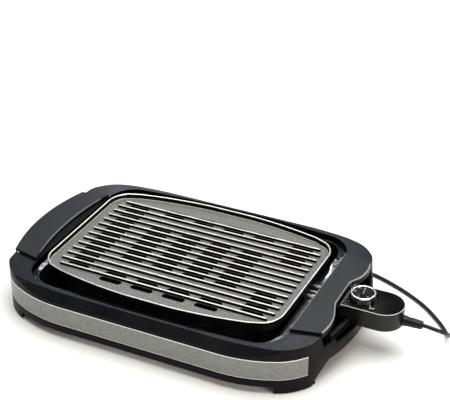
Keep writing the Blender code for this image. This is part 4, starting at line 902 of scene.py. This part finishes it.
class GRILL_OT_tray(bpy.types.Operator):
    """Press the drip tray"""
    bl_idname = "grill.tray"
    bl_label = "Drip tray"

    def execute(self, context):
        tray = merged_copy("drip_tray", "enamelled_tray")
        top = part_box("drip_tray")[1].z
        round_edges(tray, 0.0004, 2, lambda e, m: m.z > top - LEVEL)
        dress(tray, "tray_enamel", "tray", "enamel", "drip_tray")
        smooth(tray, SHARP_ROUND)
        return {"FINISHED"}


# Body

class GRILL_OT_frame(bpy.types.Operator):
    """Mould the top frame"""
    bl_idname = "grill.frame"
    bl_label = "Top frame"

    def execute(self, context):
        sizes = context.scene.grill_sizes
        piece = merged_copy("top_frame", "frame_moulding")
        dress(piece, "frame_abs", "base", "black_plastic", "top_frame", edge="frame_edge_highlight")
        piece.data.materials.append(FINISHES["opening_edge_highlight"])
        piece.data.materials.append(FINISHES["base_abs_and_painted_shade"])
        for side in (-SEAT_END, SEAT_END):
            cut_through(piece, (0, side, 0), (0, 1, 0))
        # Walls, undersides and the ledges between the panels' ends take the darker base finish: painted shade.
        for face in piece.data.polygons:
            if face.normal.z < UPWARD or abs(face.center.y) < SEAT_END:
                face.material_index = 3
        rim = reach_of(outline(*OPENING))

        def by_opening(m):
            return m.z > FRAME_TOP - 0.0004 and abs(hypot(m.x - SHIFT_X, m.y) - rim(m.x, m.y)) < 0.0015

        def outer(m):
            return m.z > FRAME_TOP - 0.0130 and not by_opening(m)
        # The outer top edges get a paler bevel and the opening's edge a pale grey one: painted highlights.
        round_edges(piece, sizes.frame_round, 3, lambda e, m: outer(m), finish=1)
        round_edges(piece, sizes.panel_round, 2, lambda e, m: by_opening(m), finish=2)
        smooth(piece)
        return {"FINISHED"}


class GRILL_OT_panels(bpy.types.Operator):
    """Mould the two handle panels"""
    bl_idname = "grill.panels"
    bl_label = "Handle panels"

    def execute(self, context):
        sizes = context.scene.grill_sizes
        for side in ("left", "right"):
            node = "handle_panel_" + side
            panel = merged_copy(node, "panel_" + side)
            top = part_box(node)[1].z
            dress(panel, "panel_abs", "base", "panel_plastic", node, edge="panel_edge_highlight")
            panel.data.materials.append(FINISHES["base_abs_and_painted_shade"])
            # Walls and undersides take the darker base finish: painted shade.
            for face in panel.data.polygons:
                if face.normal.z < UPWARD:
                    face.material_index = 2
            end, near_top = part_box(node)[1].y - 0.008, top - 0.0095
            # The long top edges take the pale edge finish, a painted highlight. Near the ends the bevels keep the
            # panel's own finish or take the darker base finish, a painted shade.
            round_edges(panel, sizes.panel_round, 2, lambda e, m: m.z > near_top and abs(m.y) < end, finish=1)
            round_edges(panel, sizes.panel_round, 2, lambda e, m: m.z > near_top and abs(m.y) > end, finish=0)
            for face in panel.data.polygons:
                if face.material_index == 1 and abs(face.center.y) > end - 0.004:
                    face.material_index = 2
            smooth(panel)
        return {"FINISHED"}


class GRILL_OT_base(bpy.types.Operator):
    """Mould the base with its two handle liners"""
    bl_idname = "grill.base"
    bl_label = "Base"

    def execute(self, context):
        shell = merged_copy("base_shell", "base_moulding")
        above_arches = 0.030
        round_edges(shell, 0.0006, 2, lambda e, m: m.z > above_arches)
        dress(shell, "base_abs_and_painted_shade", "base", "black_plastic", "base_shell")
        smooth(shell)
        for side in ("left", "right"):
            node = "handle_liner_" + side
            liner = merged_copy(node, "liner_" + side)
            dress(liner, "base_abs_and_painted_shade", "base", "black_plastic", node, edge="panel_edge_highlight")
            # The long edges take the pale edge finish: a painted highlight.
            round_edges(liner, 0.0005, 2, lambda e, m: e.calc_length() > 0.006, finish=1)
            smooth(liner)
        return {"FINISHED"}


class GRILL_OT_feet(bpy.types.Operator):
    """Mould the four rubber foot pads"""
    bl_idname = "grill.feet"
    bl_label = "Foot pads"

    def execute(self, context):
        for corner in ("front_left", "front_right", "rear_left", "rear_right"):
            node = "foot_pad_" + corner
            pad = merged_copy(node, "pad_" + corner)
            recess(pad, -1, 0.0022, 0.0005, 0.0006)
            round_edges(pad, 0.0004, 2, lambda e, m: e.calc_length() < 0.02)
            dress(pad, "foot_rubber", "base", "rubber", node)
            smooth(pad)
        return {"FINISHED"}


class GRILL_OT_screws(bpy.types.Operator):
    """Turn the screws, each with a socket in its head"""
    bl_idname = "grill.screws"
    bl_label = "Screws"

    def execute(self, context):
        nodes = [("panel_screw_%d" % i, "base") for i in (1, 2, 3, 4)]
        nodes += [("housing_screw_%d" % i, "controller") for i in (1, 2)]
        for node, body in nodes:
            screw = merged_copy(node, node.replace("screw", "socket_screw"))
            recess(screw, -1, 0.0013, 0.0003, 0.0010)
            dress(screw, "nickel_plate", body, "nickel", node)
            smooth(screw)
        return {"FINISHED"}


class GRILL_OT_band(bpy.types.Operator):
    """Form the brushed steel band"""
    bl_idname = "grill.band"
    bl_label = "Steel band"

    def execute(self, context):
        band = merged_copy("steel_band", "brushed_band")
        dress(band, "brushed_stainless", "base", "brushed_steel", "steel_band", edge="steel_edge_highlight")
        groove = context.scene.grill_sizes.groove
        for vert in band.data.vertices:
            vert.co.z += groove if vert.co.z < (BAND_LOW + BAND_HIGH) / 2 else -groove
        strip_low, strip_high = BAND_LOW + groove + 0.0008, BAND_HIGH - groove - 0.0011
        for level in (strip_low, strip_high):
            cut_through(band, (0, 0, level), (0, 0, 1))
        # The strips along the band's top and bottom edges, and the bevels there, take the pale steel finish: a
        # painted highlight.
        for face in band.data.polygons:
            if not strip_low < face.center.z < strip_high:
                face.material_index = 1
        round_edges(band, 0.0003, 2, lambda e, m: not BAND_LOW + 0.002 < m.z < BAND_HIGH - 0.002, finish=1)
        smooth(band)
        return {"FINISHED"}


# Temperature control

class GRILL_OT_control(bpy.types.Operator):
    """Mould the control's housing and cover, with its printed scale"""
    bl_idname = "grill.control"
    bl_label = "Temperature control"

    def execute(self, context):
        sizes = context.scene.grill_sizes
        housing = merged_copy("controller_housing", "control_housing")
        round_edges(housing, 0.0005, 2, lambda e, m: m.z < COVER_SEAM)
        dress(housing, "housing_abs", "controller", "black_plastic", "controller_housing")
        smooth(housing)
        cover = merged_copy("controller_cover", "control_cover")
        dress(cover, "cover_abs", "controller", "gloss_black", "controller_cover", edge="cover_edge_highlight")
        dial = Vector((DIAL_X, CONTROLLER_Y))
        # The top edges away from the dial take the pale edge finish: a painted highlight.
        round_edges(cover, 0.0007, 3, lambda e, m: m.z > POD_TOP - LEVEL and (m.xy - dial).length > 0.01, finish=1)
        smooth(cover)
        turn, reach = radians(-45), 0.0300
        place = (DIAL_X + reach * cos(turn), CONTROLLER_Y + reach * sin(turn), POD_TOP + PRINT_RAISE)
        word = lettering("OFF", sizes.numeral, place, radians(12), "off_mark")
        half_wide, high = 0.0005, 0.00012
        index = cube("index_mark", (0.0222, -half_wide, 0), (0.0262, half_wide, high))
        round_edges(index, 0.00015, 2, lambda e, m: abs(m.y) > 0.8 * half_wide and abs(m.z - high / 2) < WELD)
        index.rotation_euler = (0, 0, turn)
        index.location = (DIAL_X, CONTROLLER_Y, POD_TOP)
        settle(index)
        dress(joined([word, index], "printed_scale"), "white_ink", "controller", "gloss_black")
        return {"FINISHED"}


class GRILL_OT_dial(bpy.types.Operator):
    """Turn the dial with its chrome ring, face and pointer"""
    bl_idname = "grill.dial"
    bl_label = "Dial"

    def execute(self, context):
        knob = merged_copy("dial_knob", "dial_skirt")
        dress(knob, "cover_abs", "dial", "black_plastic", "dial_knob")
        smooth(knob, radians(25))
        ring_low, ring_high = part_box("dial_ring")
        outer, inner = (ring_high.x - ring_low.x) / 2, 0.0158
        deep = ring_high.z - ring_low.z
        profile = [(outer, 0), (outer, deep * 0.55), (outer - 0.0004, deep * 0.85), (outer - 0.0011, deep),
                   (inner + 0.0009, deep), (inner + 0.0003, deep * 0.85), (inner, deep * 0.5), (inner, 0)]
        ring = spun("dial_rim", profile, (DIAL_X, CONTROLLER_Y, ring_low.z), 64, closed=True)
        dress(ring, "chrome_plate", "dial", "chrome", "dial_ring")
        smooth(ring, SHARP_ROUND)
        refinish("dial_blue", "dial_face")
        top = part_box("dial_face")[1].z
        half_wide, tip, high = 0.0006, 0.0148, 0.0004
        pointer = cube("dial_pointer", (-half_wide, -0.0030, 0), (half_wide, tip, high))
        round_edges(pointer, 0.0005, 3, lambda e, m: m.y > tip - 0.0001 and abs(m.z - high / 2) < 0.0001)
        round_edges(pointer, 0.00015, 2, lambda e, m: m.z > high - 0.00005)
        pointer.rotation_euler = (0, 0, radians(5))
        pointer.location = (DIAL_X, CONTROLLER_Y, top)
        settle(pointer)
        dress(pointer, "amber_ink", "dial", "gloss_black")
        numbers, reach = [], 0.0128
        for word, at in (("1", 134), ("2", 186), ("3", 254), ("4", 320)):
            turn = radians(at)
            place = (DIAL_X + reach * cos(turn), CONTROLLER_Y + reach * sin(turn), top + PRINT_RAISE)
            numbers.append(lettering(word, context.scene.grill_sizes.numeral, place, turn - pi / 2, "number"))
        dress(joined(numbers, "dial_numbers"), "white_ink", "dial", "gloss_black")
        return {"FINISHED"}


class GRILL_PT_panel(bpy.types.Panel):
    """Lists the grill's pieces, sizes and colours"""
    bl_idname = "GRILL_PT_panel"
    bl_label = "Table grill"
    bl_space_type = "VIEW_3D"
    bl_region_type = "UI"
    bl_category = "Grill"

    def draw(self, context):
        layout = self.layout
        for operator in STEPS:
            layout.operator(operator.bl_idname)
        for group in (context.scene.grill_sizes, context.scene.grill_colours):
            box = layout.box()
            for key in group.__annotations__:
                box.prop(group, key)


STEPS = (GRILL_OT_camera, GRILL_OT_cord, GRILL_OT_relief, GRILL_OT_plate, GRILL_OT_heater, GRILL_OT_tray,
         GRILL_OT_frame, GRILL_OT_panels, GRILL_OT_base, GRILL_OT_feet, GRILL_OT_screws, GRILL_OT_band,
         GRILL_OT_control, GRILL_OT_dial, GRILL_OT_stage)
CLASSES = (GrillSizes, GrillColours) + STEPS + (GRILL_PT_panel,)


def register():
    for one in CLASSES:
        bpy.utils.register_class(one)
    bpy.types.Scene.grill_sizes = PointerProperty(type=GrillSizes)
    bpy.types.Scene.grill_colours = PointerProperty(type=GrillColours)


def unregister():
    del bpy.types.Scene.grill_colours
    del bpy.types.Scene.grill_sizes
    for one in reversed(CLASSES):
        bpy.utils.unregister_class(one)


def main():
    """Make the finishes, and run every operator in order."""
    register()
    for obj in bpy.context.selected_objects:
        obj.select_set(False)
    make_finishes()
    for step in STEPS:
        name = step.bl_idname.split(".")[1]
        if getattr(bpy.ops.grill, name)() != {"FINISHED"}:
            raise RuntimeError("this step did not finish: " + name)


if __name__ == "__main__":
    main()
